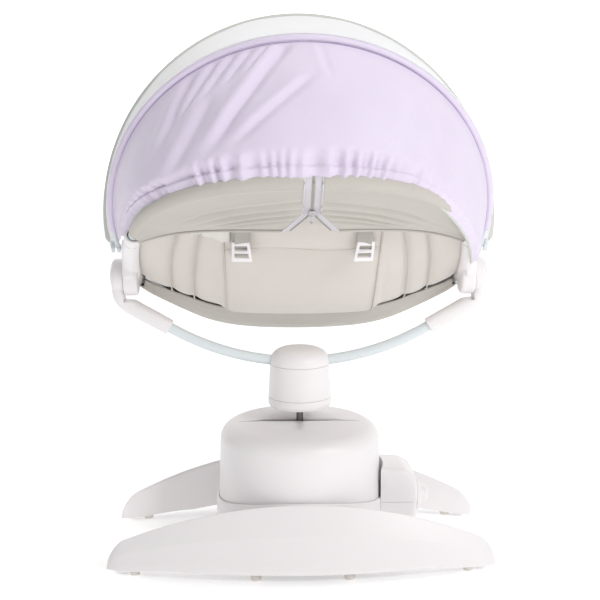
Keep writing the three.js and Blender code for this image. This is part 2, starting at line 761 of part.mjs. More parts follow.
function frontRing() {
  const start = angleAtFront(16);
  const point = (t) => ringFront(start + t * (Math.PI - 2 * start));
  return tube(point, RING_RADIUS, 10, 24, RING_RADIUS - 1.5);
}

// ---------------------------------------------------------------- seat fabric
const COVER_DROP = -11;
const HEM_CENTRE = vec(0, -180, 499);
const HEM_REACH = 220; // from the middle to either end of the back cover's hem
const HEM_SWEEP = 76; // how much further forward the ends are

const BACK_COVER_END = 112; // where its edge leaves the ring, behind the hubs
const FRONT_COVER_END = 54;
const COVER_THICKNESS = 2.4;

/** Underside cover of the back half, from its straight hem to the ring. */
function backCoverPoint(u, v) {
  const edge = angleAtBack(BACK_COVER_END);
  const rim = ringBack(edge + u * (Math.PI - 2 * edge), 0, COVER_DROP);
  const across = 2 * u - 1;
  const hem = vec(-HEM_REACH * across, HEM_CENTRE.y + HEM_SWEEP * across * across, 0);
  const endHeight = ringHeight(HEM_CENTRE.y + HEM_SWEEP) - 14;
  hem.z = HEM_CENTRE.z + (endHeight - HEM_CENTRE.z) * across ** 4;
  return hem.lerp(rim, v);
}

const ZIP_START = 0.46; // how far from the hem to the ring the zip is open
const ZIP_X = 8;
const ZIP_SPLAY = 33; // half the opening's width at the hem

function backCover() {
  const cloth = sheet(backCoverPoint, 20, 5, COVER_THICKNESS);
  const tip = backCoverPoint(0.5, ZIP_START);
  const opening = new THREE.Shape();
  opening.moveTo(ZIP_X, tip.y);
  opening.lineTo(ZIP_X - ZIP_SPLAY, HEM_CENTRE.y + 14);
  opening.lineTo(ZIP_X + ZIP_SPLAY, HEM_CENTRE.y + 14);
  opening.closePath();
  const wedge = new THREE.ExtrudeGeometry(opening, { depth: 300, bevelEnabled: false });
  return cut(cloth, wedge.translate(0, 0, 350));
}

const FRONT_HEM_CENTRE = vec(0, 60, 331);
const FRONT_HEM_SWEEP = 28; // how much further back its ends are

/** Underside cover of the front half, with a hem that hangs in a U. */
function frontCoverPoint(u, v) {
  const edge = angleAtFront(FRONT_COVER_END);
  const rim = ringFront(edge + u * (Math.PI - 2 * edge), 0, COVER_DROP);
  const across = 2 * u - 1;
  const low = FRONT_HEM_CENTRE;
  const hem = vec(-227 * across, low.y - FRONT_HEM_SWEEP * across * across, low.z);
  const endHeight = ringHeight(low.y - FRONT_HEM_SWEEP) - 15;
  hem.z += (endHeight - low.z) * Math.abs(across) ** 3.4;
  return hem.lerp(rim, v);
}

const frontCover = () => sheet(frontCoverPoint, 20, 5, COVER_THICKNESS);

const LINER_INSET = 13;
const LINER_REACH_BACK = 230; // where it comes level with the ring again
const LINER_REACH_FRONT = 300;

/** How far the padded seat hangs below the ring at (x, y). */
function linerDepth(x, y) {
  const reach = y < 0 ? LINER_REACH_BACK : LINER_REACH_FRONT;
  const along = square(Math.cos((Math.PI / 2) * Math.min(1, Math.abs(y) / reach)));
  const width = Math.max(1, ringHalfWidth(y, LINER_INSET));
  const across = Math.min(1, Math.abs(x) / width);
  return LINER_DEPTH * along * (1 - across ** 3.2);
}

function linerPoint(radius, angle, rise) {
  const point = Math.sin(angle) < 0 ? ringBack(angle, -LINER_INSET) : ringFront(angle, -LINER_INSET);
  const x = point.x * radius;
  const y = point.y * radius;
  return vec(x, y, ringHeight(y) - linerDepth(x, y) + rise);
}

function seatLiner() {
  const lower = (radius, angle) => linerPoint(radius, angle, 0);
  const upper = (radius, angle) => linerPoint(radius, angle, LINER_THICKNESS);
  return dish(lower, upper, [0.25, 0.5, 0.7, 0.85, 0.94, 1], 28);
}

/** Flat webbing lying on the liner between two places; t runs 0..1. */
function strap(routeAt, halfWidth, count) {
  const sections = steps(count).map((t) => {
    const point = routeAt(t);
    const ahead = routeAt(Math.min(1, t + 0.01)).sub(routeAt(Math.max(0, t - 0.01))).normalize();
    const normal = ahead.clone().cross(vec(1, 0, 0)).normalize();
    const across = normal.clone().cross(ahead).normalize();
    return [[-1, -1], [1, -1], [1, 1], [-1, 1]].map(([a, b]) =>
      point.clone().addScaledVector(across, a * halfWidth).addScaledVector(normal, b)
    );
  });
  return loft(sections);
}

const linerTop = (x, y) => ringHeight(y) - linerDepth(x, y) + LINER_THICKNESS;
const BUCKLE = vec(0, 20, linerTop(0, 20) + 14);

function shoulderStrap(side) {
  return strap((t) => {
    const x = side * (64 - 44 * t * t);
    const y = -168 + (BUCKLE.y - 27 + 168) * t;
    const lift = 5 + 9 * t;
    return vec(x, y, linerTop(x, y) + lift);
  }, 9, 12);
}

function crotchStrap() {
  return strap((t) => {
    const y = BUCKLE.y + 22.5 + 52 * t;
    return vec(0, y, linerTop(0, y) + 13 - 9 * t);
  }, 12, 5);
}

function harnessBuckle() {
  const body = new THREE.CylinderGeometry(21, 22, 11, 20).rotateX(Math.PI / 2);
  const pocket = rod("z", 8.4, 0, 20, 0, 0, 0, 20);
  return cut(body, pocket).translate(BUCKLE.x, BUCKLE.y, BUCKLE.z);
}

function buckleButton() {
  const profile = [[0, 2.8], [8, 2.8], [8, 6], [6.5, 7.4], [0, 7.4]];
  return turned(profile, 20).translate(BUCKLE.x, BUCKLE.y, BUCKLE.z);
}

/** Ladder lock behind the liner: a frame with a middle bar. */
function strapAdjuster(side) {
  const outline = new THREE.Shape();
  outline.moveTo(-14, -16);
  outline.lineTo(14, -16);
  outline.lineTo(14, 16);
  outline.lineTo(-14, 16);
  outline.closePath();
  [-6, 6].forEach((middle) => {
    const slot = new THREE.Path();
    slot.moveTo(-10.5, middle - 4);
    slot.lineTo(-10.5, middle + 4);
    slot.lineTo(10.5, middle + 4);
    slot.lineTo(10.5, middle - 4);
    slot.closePath();
    outline.holes.push(slot);
  });
  const frame = new THREE.ExtrudeGeometry(outline, { depth: 3.5, bevelEnabled: false });
  return frame.rotateX(radians(-62)).rotateZ(side * 0.15).translate(side * 82, -125, 459);
}

// ---------------------------------------------------------------- zip
const ZIP_SLOPE = backCoverPoint(0.5, 1).sub(backCoverPoint(0.5, 0)).normalize();

function zipSlider() {
  const tip = backCoverPoint(0.5, ZIP_START + 0.03);
  const slider = new THREE.BoxGeometry(8, 13, 3.4, 1, 1, 1);
  const tilt = Math.atan2(ZIP_SLOPE.z, -ZIP_SLOPE.y);
  return slider.rotateX(-tilt).translate(ZIP_X, tip.y - 3.6 * Math.sin(tilt), tip.z - 3.6 * Math.cos(tilt));
}

// ---------------------------------------------------------------- canopy
function bow(leanDegrees, grow) {
  return tube((t) => bowPoint(t, leanDegrees, grow), BOW_RADIUS, 8, 26);
}

const PANEL_GROW = BOW_STEP + 8; // cloth over the front bow's sweep

/** Cloth between the two bows, a band turned about the canopy pivots. */
function roofPanel() {
  const low = -REAR_BOW_ANGLE + 1.5;
  return sheet((u, v) => {
    const lean = low + v * (FRONT_BOW_ANGLE + 1.2 - low);
    return bowPoint(0.03 + 0.94 * u, lean, PANEL_GROW);
  }, 20, 4, 2);
}

/** Cloth from the rear bow down to the gathered hem round the head of the ring. */
function rearPanel() {
  const start = angleAtBack(66);
  return sheet((u, v) => {
    const top = bowPoint(0.03 + 0.94 * u, -REAR_BOW_ANGLE, PANEL_GROW);
    const hem = ringBack(start + u * (Math.PI - 2 * start), 15, 5);
    const middle = top.lerp(hem, v);
    const swell = 14 * Math.sin(Math.PI * v) * Math.sin(Math.PI * u);
    return middle.add(vec(0, -swell, 0.5 * swell));
  }, 20, 5, 2);
}

// ---------------------------------------------------------------- assembly
const swing = new THREE.Group();
const frame = new THREE.Group();
frame.position.y = CENTRE_SHIFT;
swing.add(frame);

function place(name, geometry, finishOf) {
  const mesh = new THREE.Mesh(closed(geometry), finishOf());
  mesh.name = name;
  frame.add(mesh);
}

place("base_plate", basePlate(), whitePlastic);
place("drum_cover", drumCover(), whitePlastic);
place("lower_housing", lowerHousing(), whitePlastic);
[["rear_foot", -1], ["front_foot", 1]].forEach(([name, side]) => {
  place(name, foot(side), whitePlastic);
  PAD_PLACES.forEach((x, i) => place(`${name}_pad_${i + 1}`, footPad(x, side), rubber));
});
place("side_pod", sidePod(), whitePlastic);
place("speed_knob", speedKnob(), whitePlastic);
place("power_jack", powerJack(), innerPlastic);
place("battery_box", batteryBox(), innerPlastic);
place("battery_door", batteryDoor(), whitePlastic);
place("door_screw", doorScrew(), bareSteel);
place("pivot_frame", pivotFrame(), innerPlastic);
place("rear_bearing", bearing(-1), bareSteel);
place("front_bearing", bearing(1), bareSteel);
place("return_spring", returnSpring(), bareSteel);
place("drive_coil", driveCoil(), copper);
place("control_board", controlBoard(), boardGreen);
place("speaker", speaker(), magnetGrey);

place("axle", axle(), bareSteel);
place("swing_yoke", swingYoke(), innerPlastic);
place("magnet", magnet(), magnetGrey);
place("stem", stem(), bareSteel);
place("slot_shield", slotShield(), whitePlastic);
place("hub_ring", hubRing(), whitePlastic);
place("hub_cup", hubCup(), whitePlastic);
place("hub_dome", hubDome(), whitePlastic);
[["left", -1], ["right", 1]].forEach(([name, side]) => {
  place(`${name}_carrier_arm`, carrierArm(side), coatedSteel);
  place(`${name}_elbow`, elbow(side), whitePlastic);
  place(`${name}_recline_button`, reclineButton(side), whitePlastic);
  place(`${name}_bracket`, bracket(side), whitePlastic);
  place(`${name}_shoulder_strap`, shoulderStrap(side), webbing);
  place(`${name}_strap_adjuster`, strapAdjuster(side), whitePlastic);
});
place("back_ring_tube", backRing(), coatedSteel);
place("front_ring_tube", frontRing(), coatedSteel);
place("back_cover", backCover(), taupeKnit);
place("front_cover", frontCover(), taupeKnit);
place("seat_liner", seatLiner(), linerKnit);
place("crotch_strap", crotchStrap(), webbing);
place("harness_buckle", harnessBuckle(), whitePlastic);
place("buckle_button", buckleButton(), innerPlastic);
place("zip_slider", zipSlider(), zipMetal);
place("rear_bow", bow(-REAR_BOW_ANGLE, 0), coatedSteel);
place("front_bow", bow(FRONT_BOW_ANGLE, BOW_STEP), coatedSteel);
place("rear_panel", rearPanel(), lavenderSatin);
place("roof_panel", roofPanel(), roofMesh);

export default swing;
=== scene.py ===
"""Powered baby swing: finished shells, tubes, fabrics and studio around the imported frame.

Metres, +Z up, +X towards the dial, +Y towards the foot end of the seat. Shapes are worked out
from the drum's axis, and each piece moves onto the frame's origin when it is kept.
"""
import json
import logging
import math
from dataclasses import dataclass
from enum import Enum
from typing import Callable, Optional, Sequence

import bmesh
import bpy
from mathutils import Matrix, Vector
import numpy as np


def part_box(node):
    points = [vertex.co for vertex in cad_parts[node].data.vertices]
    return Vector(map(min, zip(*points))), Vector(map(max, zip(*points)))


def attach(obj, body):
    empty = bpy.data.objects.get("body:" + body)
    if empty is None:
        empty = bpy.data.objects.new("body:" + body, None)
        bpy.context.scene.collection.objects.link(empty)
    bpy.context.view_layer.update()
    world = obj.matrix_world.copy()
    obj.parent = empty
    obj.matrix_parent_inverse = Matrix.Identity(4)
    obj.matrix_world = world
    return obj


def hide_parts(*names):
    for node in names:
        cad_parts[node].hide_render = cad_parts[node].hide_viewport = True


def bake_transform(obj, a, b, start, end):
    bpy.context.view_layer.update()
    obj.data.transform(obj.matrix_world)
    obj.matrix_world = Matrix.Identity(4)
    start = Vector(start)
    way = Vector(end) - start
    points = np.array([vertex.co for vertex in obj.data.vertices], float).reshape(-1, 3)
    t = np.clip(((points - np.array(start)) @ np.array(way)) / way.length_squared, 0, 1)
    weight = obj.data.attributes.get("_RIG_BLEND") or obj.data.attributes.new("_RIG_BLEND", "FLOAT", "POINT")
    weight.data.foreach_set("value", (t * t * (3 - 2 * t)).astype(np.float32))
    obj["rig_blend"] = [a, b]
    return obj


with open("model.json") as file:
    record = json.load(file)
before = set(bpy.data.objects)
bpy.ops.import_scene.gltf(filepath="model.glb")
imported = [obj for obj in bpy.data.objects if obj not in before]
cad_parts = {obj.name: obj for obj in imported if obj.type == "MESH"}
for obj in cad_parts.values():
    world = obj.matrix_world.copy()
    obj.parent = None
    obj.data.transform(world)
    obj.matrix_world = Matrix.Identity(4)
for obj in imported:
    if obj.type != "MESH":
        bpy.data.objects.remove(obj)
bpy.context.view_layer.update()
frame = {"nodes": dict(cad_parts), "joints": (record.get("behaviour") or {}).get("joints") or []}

log = logging.getLogger("swing")
SurfaceAt = Callable[[float, float], Vector]


# ------------------------------------------------------------------ numbers and curves
def mix(low: float, high: float, share: float) -> float:
    """A value that goes from low to high as share goes from 0 to 1."""
    return low + (high - low) * share


def ease(start: float, stop: float, value: float) -> float:
    """A smooth step from 0 before start to 1 after stop."""
    share = min(1.0, max(0.0, (value - start) / (stop - start)))
    return share * share * (3 - 2 * share)


def bell(value: float, width: float) -> float:
    """A bump of height 1 round zero, about two widths across."""
    return math.exp(-(value / width) ** 2)


def signed_power(value: float, power: float) -> float:
    """The power of a value's size, with the value's sign."""
    return math.copysign(abs(value) ** power, value)


def spread(count: int) -> list[float]:
    """Even shares from 0 to 1, count steps of them."""
    return [i / count for i in range(count + 1)]


def rounded(corners: Sequence[tuple[float, float, float]], steps: int = 5) -> list[tuple[float, float]]:
    """Turns each corner of an outline into an arc.

    Args:
        corners: (across, up, fillet radius) for each corner; the ends stay sharp.
        steps: the number of steps of each arc.
    Returns:
        The outline's points.
    """
    outline = []
    for i, (across, up, radius) in enumerate(corners):
        here = Vector((across, up))
        if radius <= 0 or i in (0, len(corners) - 1):
            outline.append((across, up))
            continue
        before = Vector(corners[i - 1][:2]) - here
        after = Vector(corners[i + 1][:2]) - here
        reach = radius / math.tan(before.angle(after) / 2)
        reach = min(reach, 0.49 * before.length, 0.49 * after.length)
        first = here + before.normalized() * reach
        second = here + after.normalized() * reach
        for t in spread(steps):
            point = first * (1 - t) ** 2 + here * (2 * t * (1 - t)) + second * t * t
            outline.append((point.x, point.y))
    return outline


@dataclass(frozen=True)
class Datum:
    """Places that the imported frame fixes, measured from the drum's axis."""

    shift: float
    pivot_z: float
    hub_z: float
    bow_y: float
    bow_z: float
    dial_z: float
    drum_top: float
    drum_radius: float
    housing_radius: float
    foot_half: float
    foot_ridge: float
    pad_height: float

    @classmethod
    def from_frame(cls) -> "Datum":
        """Reads the joints and the boxes of the frame's nodes."""
        places = {joint["name"]: joint.get("pos_m") for joint in frame["joints"]}
        shift = places["swing"][1]
        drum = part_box("drum_cover")
        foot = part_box("rear_foot")
        return cls(
            shift=shift,
            pivot_z=places["swing"][2],
            hub_z=places["seat_recline"][2],
            bow_y=places["canopy_fold"][1] - shift,
            bow_z=places["canopy_fold"][2],
            dial_z=places["speed_dial"][2],
            drum_top=drum[1].z,
            drum_radius=drum[1].x,
            housing_radius=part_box("lower_housing")[1].x,
            foot_half=foot[1].x,
            foot_ridge=foot[1].z,
            pad_height=foot[0].z,
        )


DATUM = Datum.from_frame()


@dataclass(frozen=True)
class SeatRing:
    """The oval tube ring that carries the sling seat."""

    half_width: float = 0.242
    back: float = 0.260
    front: float = 0.300
    power: float = 2.3
    tube: float = 0.0075

    def height(self, y: float) -> float:
        """Height of the tube's centre line at y: the back rises and the front drops a little."""
        slope, bend = (0.76, 0.615) if y < 0 else (0.25, 0.6)
        return DATUM.hub_z + 0.002 - slope * y - bend * y * y

    def half(self, y: float, inset: float = 0.0) -> float:
        """Half the ring's width at y, drawn in by an inset."""
        power = self.power if y < 0 else 2.0
        length = (self.back if y < 0 else self.front) - inset
        rest = max(0.0, 1 - (abs(y) / length) ** power)
        return (self.half_width - inset) * rest ** (1 / power)

    def at_back(self, angle: float, outset: float = 0.0, rise: float = 0.0) -> Vector:
        """Point on the back half; angle 0 is at +X and pi at -X."""
        x = (self.half_width + outset) * signed_power(math.cos(angle), 2 / self.power)
        y = -(self.back + outset) * abs(math.sin(angle)) ** (2 / self.power)
        return Vector((x, y, self.height(y) + rise))

    def at_front(self, angle: float, outset: float = 0.0, rise: float = 0.0) -> Vector:
        """Point on the front half; angle 0 is at +X and pi at -X."""
        y = (self.front + outset) * math.sin(angle)
        return Vector(((self.half_width + outset) * math.cos(angle), y, self.height(y) + rise))

    def back_angle(self, y: float) -> float:
        """The back half's angle where its side reaches y."""
        return math.asin((abs(y) / self.back) ** (self.power / 2))

    def front_angle(self, y: float) -> float:
        """The front half's angle where its side reaches y."""
        return math.asin(y / self.front)

    def side(self, y: float) -> Vector:
        """Point of the +X side at y."""
        return Vector((self.half(y), y, self.height(y)))


@dataclass(frozen=True)
class BowShape:
    """A canopy hoop that turns about the two canopy pivots."""

    start_x: float = 0.2592
    half_width: float = 0.266
    reach: float = 0.328
    shoulder: float = 0.055
    rear_lean: float = -27.5
    front_lean: float = 15.0
    front_grow: float = 0.008

    def at(self, t: float, lean: float, grow: float) -> Vector:
        """A point on the hoop.

        Args:
            t: 0 at the +X pivot, 1 at the -X pivot.
            lean: degrees forward from vertical.
            grow: how far outside the rear wire the hoop runs.
        Returns:
            The point, from the drum's axis.
        """
        half = self.half_width + grow
        dip = math.acos(min(1.0, (self.start_x + grow) / half))
        angle = -dip + t * (math.pi + 2 * dip)
        lift = math.sin(angle)
        rise = self.reach + grow - self.shoulder if lift > 0 else self.shoulder / math.sin(dip)
        out = self.shoulder + rise * lift
        turn = math.radians(lean)
        y = DATUM.bow_y + out * math.sin(turn)
        return Vector((half * math.cos(angle), y, DATUM.bow_z + out * math.cos(turn)))


RING = SeatRing()
BOW = BowShape()


@dataclass(frozen=True)
class Crease:
    """A soft fold in cloth along a line between two places on the sheet."""

    start: tuple[float, float]
    end: tuple[float, float]
    width: float
    height: float

    def lift(self, across: float, down: float) -> float:
        """How far the cloth stands out at a place on the sheet."""
        line = Vector(self.end) - Vector(self.start)
        from_start = Vector((across, down)) - Vector(self.start)
        along = from_start.dot(line) / line.length_squared
        if not -0.15 < along < 1.15:
            return 0.0
        aside = (line.x * from_start.y - line.y * from_start.x) / line.length
        fade = ease(-0.15, 0.15, along) * (1 - ease(0.7, 1.15, along))
        ridge = bell(aside, self.width) - 0.55 * bell(aside - 1.9 * self.width, 1.3 * self.width)
        return self.height * fade * ridge


# ------------------------------------------------------------------ modelling
class Workbench:
    """Makes and finishes meshes with the operators that are used by hand."""

    @staticmethod
    def clear() -> None:
        """Goes back to object mode with nothing selected."""
        if bpy.context.object and bpy.context.object.mode != "OBJECT":
            bpy.ops.object.mode_set(mode="OBJECT")
        bpy.ops.object.select_all(action="DESELECT")

    @staticmethod
    def pick(obj: bpy.types.Object) -> None:
        """Selects one object and makes it the active one."""
        Workbench.clear()
        obj.select_set(True)
        bpy.context.view_layer.objects.active = obj

    @staticmethod
    def tidy(obj: bpy.types.Object, recalculate: bool = True) -> bpy.types.Object:
        """Merges doubled points and turns the faces outwards."""
        Workbench.pick(obj)
        bpy.ops.object.mode_set(mode="EDIT")
        bpy.ops.mesh.select_all(action="SELECT")
        bpy.ops.mesh.remove_doubles(threshold=2e-6)
        if recalculate:
            bpy.ops.mesh.normals_make_consistent(inside=False)
        bpy.ops.object.mode_set(mode="OBJECT")
        return obj

    @staticmethod
    def skin(name: str, rings: Sequence[Sequence[Vector]]) -> bpy.types.Object:
        """Adds a circle and extrudes it from ring to ring.

        Args:
            name: the piece's name.
            rings: loops of equal point counts; a loop drawn to one point closes an end.
        Returns:
            The piece, its doubled points merged and its faces turned outwards.
        """
        Workbench.clear()
        count = len(rings[0])
        bpy.ops.mesh.primitive_circle_add(vertices=count, radius=1.0)
        obj = bpy.context.object
        obj.name = obj.data.name = name
        bpy.ops.object.mode_set(mode="EDIT")
        bpy.ops.mesh.select_all(action="SELECT")
        edit = bmesh.from_edit_mesh(obj.data)
        edit.verts.ensure_lookup_table()
        places = {i: i for i in range(count)}
        for i, point in enumerate(rings[0]):
            edit.verts[i].co = point
        for ring in rings[1:]:
            bpy.ops.mesh.extrude_region_move()
            edit = bmesh.from_edit_mesh(obj.data)
            following = {}
            for vert in edit.verts:
                if not vert.select:
                    continue
                source = next(e.other_vert(vert) for e in vert.link_edges if not e.other_vert(vert).select)
                following[vert.index] = places[source.index]
                vert.co = ring[places[source.index]]
            places = following
        bmesh.update_edit_mesh(obj.data)
        bpy.ops.object.mode_set(mode="OBJECT")
        return Workbench.tidy(obj)

    @staticmethod
    def capped(name: str, rings: Sequence[Sequence[Vector]]) -> bpy.types.Object:
        """A skin whose two ends are drawn to the middles of its end rings."""
        ends = [[sum(ring, Vector()) / len(ring)] * len(ring) for ring in (rings[0], rings[-1])]
        return Workbench.skin(name, [ends[0], *rings, ends[1]])

    @staticmethod
    def turned(
        name: str, outline: Sequence[tuple[float, float]], axis: str = "z",
        centre: Sequence[float] = (0, 0, 0), segments: int = 96,
    ) -> bpy.types.Object:
        """Turns an outline of (radius, height) about an axis.

        Args:
            name: the piece's name.
            outline: from pole to pole, or round a closed wall with its first point repeated.
            axis: "x", "y" or "z".
            centre: a point that the axis passes through.
            segments: steps round the axis.
        Returns:
            The turned piece.
        """
        turns = [2 * math.pi * i / segments for i in range(segments)]
        place = {
            "x": lambda a, b, c: (c, a, b),
            "y": lambda a, b, c: (a, c, b),
            "z": lambda a, b, c: (a, b, c),
        }[axis]
        rings = [
            [Vector(place(r * math.cos(a), r * math.sin(a), h)) + Vector(centre) for a in turns]
            for r, h in outline
        ]
        return Workbench.skin(name, rings)

    @staticmethod
    def tube(
        name: str, path: Sequence[Vector], radius: float, sides: int = 20,
        flat: float = 1.0, up: Sequence[float] = (0, 0, 1), ends: bool = True,
    ) -> bpy.types.Object:
        """Sweeps a round or flattened section along a path.

        Args:
            name: the piece's name.
            path: the centre line.
            radius: half the section's width.
            sides: points round the section.
            flat: the section's height over its width, along up.
            up: a direction that the path never follows.
            ends: whether the ends are closed.
        Returns:
            The swept piece.
        """
        rings = []
        for i, point in enumerate(path):
            ahead = (path[min(i + 1, len(path) - 1)] - path[max(i - 1, 0)]).normalized()
            across = ahead.cross(Vector(up)).normalized()
            rise = across.cross(ahead).normalized()
            rings.append([
                point + across * radius * math.cos(a) + rise * radius * flat * math.sin(a)
                for a in (2 * math.pi * k / sides for k in range(sides))
            ])
        if ends:
            rings = [[path[0]] * sides, *rings, [path[-1]] * sides]
        return Workbench.skin(name, rings)

    @staticmethod
    def cylinder(
        radius: float, low: float, high: float, axis: str = "z",
        centre: Sequence[float] = (0, 0, 0), sides: int = 64,
    ) -> bpy.types.Object:
        """A plain cylinder between two heights along an axis, used to cut or to join."""
        outline = [(0, low), (radius, low), (radius, high), (0, high)]
        return Workbench.turned("tool", outline, axis, centre, sides)

    @staticmethod
    def block(size: Sequence[float], centre: Sequence[float], soften: float = 0.0) -> bpy.types.Object:
        """A block with bevelled edges.

        Args:
            size: its three sides.
            centre: its middle.
            soften: the bevel's width; 0 leaves it sharp.
        Returns:
            The block.
        """
        Workbench.clear()
        bpy.ops.mesh.primitive_cube_add(size=1.0, location=centre)
        obj = bpy.context.object
        obj.scale = size
        bpy.ops.object.transform_apply(location=True, rotation=True, scale=True)
        if soften > 0:
            bpy.ops.object.mode_set(mode="EDIT")
            bpy.ops.mesh.select_all(action="SELECT")
            bpy.ops.mesh.bevel(offset=soften, segments=3, affect="EDGES")
            bpy.ops.object.mode_set(mode="OBJECT")
        return obj

    @staticmethod
    def modify(obj: bpy.types.Object, kind: str, **settings: object) -> bpy.types.Object:
        """Adds a modifier with its settings and applies it."""
        modifier = obj.modifiers.new(kind.lower(), kind)
        for key, value in settings.items():
            setattr(modifier, key, value)
        Workbench.pick(obj)
        bpy.ops.object.modifier_apply(modifier=modifier.name)
        return obj

    @staticmethod
    def boolean(obj: bpy.types.Object, tools: Sequence[bpy.types.Object], operation: str) -> bpy.types.Object:
        """Cuts the tools out of a piece, or joins them to it, and removes them."""
        for tool in tools:
            Workbench.modify(obj, "BOOLEAN", operation=operation, solver="EXACT", object=tool)
            bpy.data.objects.remove(tool)
        return obj

    @staticmethod
    def melt(obj: bpy.types.Object, voxel: float, passes: int) -> bpy.types.Object:
        """Runs joined shapes into one moulded body with soft inner corners."""
        Workbench.modify(obj, "REMESH", mode="VOXEL", voxel_size=voxel, adaptivity=0.0)
        return Workbench.modify(obj, "SMOOTH", factor=0.5, iterations=passes)

    @staticmethod
    def join(name: str, pieces: Sequence[bpy.types.Object]) -> bpy.types.Object:
        """Makes one object of several without cutting them."""
        Workbench.clear()
        for piece in pieces:
            piece.select_set(True)
        bpy.context.view_layer.objects.active = pieces[0]
        bpy.ops.object.join()
        pieces[0].name = pieces[0].data.name = name
        return pieces[0]

    @staticmethod
    def copy(
        obj: bpy.types.Object, name: str, flip: bool = False, move: Sequence[float] = (0, 0, 0)
    ) -> bpy.types.Object:
        """A copy with its own mesh, moved, or mirrored to the -X side."""
        twin = obj.copy()
        twin.data = obj.data.copy()
        twin.name = twin.data.name = name
        bpy.context.scene.collection.objects.link(twin)
        twin.data.transform(Matrix.Translation(move))
        if flip:
            twin.data.transform(Matrix.Diagonal((-1, 1, 1, 1)))
            twin.data.flip_normals()
        return twin

    @staticmethod
    def shade(obj: bpy.types.Object, degrees: float = 38.0) -> bpy.types.Object:
        """Shades smoothly, with edges sharper than an angle left crisp."""
        Workbench.pick(obj)
        bpy.ops.object.shade_smooth_by_angle(angle=math.radians(degrees), keep_sharp_edges=False)
        return obj


class Loom:
    """Makes sheets, straps and pads from surface formulas, with the cloth's own metric UV map."""

    UV_NAME = "weave"

    @staticmethod
    def grid(name: str, at: SurfaceAt, across: int, down: int) -> bpy.types.Object:
        """A single layer of cloth over 0..1 by 0..1.

        Args:
            name: the piece's name.
            at: the point for a place on the cloth.
            across: steps along the first direction.
            down: steps along the second.
        Returns:
            The sheet, with UVs in metres along its middle lines.
        """
        rows = [[at(u, v) for v in spread(down)] for u in spread(across)]
        along = Loom.lengths([row[down // 2] for row in rows])
        deep = Loom.lengths(rows[across // 2])
        stride = down + 1
        faces = [
            (i * stride + j, (i + 1) * stride + j, (i + 1) * stride + j + 1, i * stride + j + 1)
            for i in range(across) for j in range(down)
        ]
        mesh = bpy.data.meshes.new(name)
        mesh.from_pydata([point for row in rows for point in row], [], faces)
        layer = mesh.uv_layers.new(name=Loom.UV_NAME)
        for loop in mesh.loops:
            i, j = divmod(loop.vertex_index, stride)
            layer.data[loop.index].uv = (along[i], deep[j])
        obj = bpy.data.objects.new(name, mesh)
        bpy.context.scene.collection.objects.link(obj)
        return obj

    @staticmethod
    def lengths(points: Sequence[Vector]) -> list[float]:
        """The way covered at each point of a line."""
        total = [0.0]
        for before, after in zip(points, points[1:]):
            total.append(total[-1] + (after - before).length)
        return total

    @staticmethod
    def thicken(obj: bpy.types.Object, thickness: float) -> bpy.types.Object:
        """Gives a single layer its thickness and smooth shading."""
        Workbench.modify(obj, "SOLIDIFY", thickness=thickness, offset=0.0, use_even_offset=False)
        Workbench.pick(obj)
        bpy.ops.object.shade_smooth()
        return obj

    @staticmethod
    def puffed(at: SurfaceAt, lift: Callable[[float, float], float]) -> SurfaceAt:
        """A surface moved along its normal by a lift that depends on the place."""
        nudge = 1e-3

        def surface(u: float, v: float) -> Vector:
            """The moved surface's point."""
            one = at(min(u + nudge, 1), v) - at(max(u - nudge, 0), v)
            two = at(u, min(v + nudge, 1)) - at(u, max(v - nudge, 0))
            return at(u, v) + one.cross(two).normalized() * lift(u, v)

        return surface

    @staticmethod
    def strap(
        name: str, route: Callable[[float], Vector], half_width: float, thickness: float,
        steps: int, side: Sequence[float] = (1, 0, 0),
    ) -> bpy.types.Object:
        """Flat webbing along a route.

        Args:
            name: the piece's name.
            route: the centre line for 0..1.
            half_width: half the webbing's width.
            thickness: its thickness.
            steps: steps along the route.
            side: the direction that its width mostly lies in.
        Returns:
            The strap with rounded selvedges.
        """
        def at(u: float, v: float) -> Vector:
            """A place on the webbing's middle layer."""
            ahead = (route(min(1, v + 0.01)) - route(max(0, v - 0.01))).normalized()
            across = (Vector(side) - ahead * ahead.dot(Vector(side))).normalized()
            return route(v) + across * half_width * (2 * u - 1)

        strap = Loom.grid(name, at, 10, steps)
        Loom.thicken(strap, thickness)
        return Workbench.modify(strap, "BEVEL", width=0.3 * thickness, segments=2, limit_method="ANGLE")


# ------------------------------------------------------------------ shader graph
class Wire:
    """A shader socket that adds, subtracts and multiplies like a number."""

    def __init__(self, graph: "Graph", socket: bpy.types.NodeSocket) -> None:
        """Keeps the graph and the socket."""
        self.graph = graph
        self.socket = socket

    def math(self, operation: str, first: object, second: object = 0.0) -> "Wire":
        """Adds one Math node over two values."""
        return self.graph.add("ShaderNodeMath", {"operation": operation}, {0: first, 1: second})

    def __add__(self, other: object) -> "Wire":
        """self + other."""
        return self.math("ADD", self, other)

    __radd__ = __add__

    def __sub__(self, other: object) -> "Wire":
        """self - other."""
        return self.math("SUBTRACT", self, other)

    def __rsub__(self, other: object) -> "Wire":
        """other - self."""
        return self.math("SUBTRACT", other, self)

    def __mul__(self, other: object) -> "Wire":
        """self * other."""
        return self.math("MULTIPLY", self, other)

    __rmul__ = __mul__

    def __abs__(self) -> "Wire":
        """The size of self."""
        return self.math("ABSOLUTE", self)

    def sin(self) -> "Wire":
        """The sine of self."""
        return self.math("SINE", self)

    def wrapped(self) -> "Wire":
        """The fraction of self."""
        return self.math("FRACT", self)


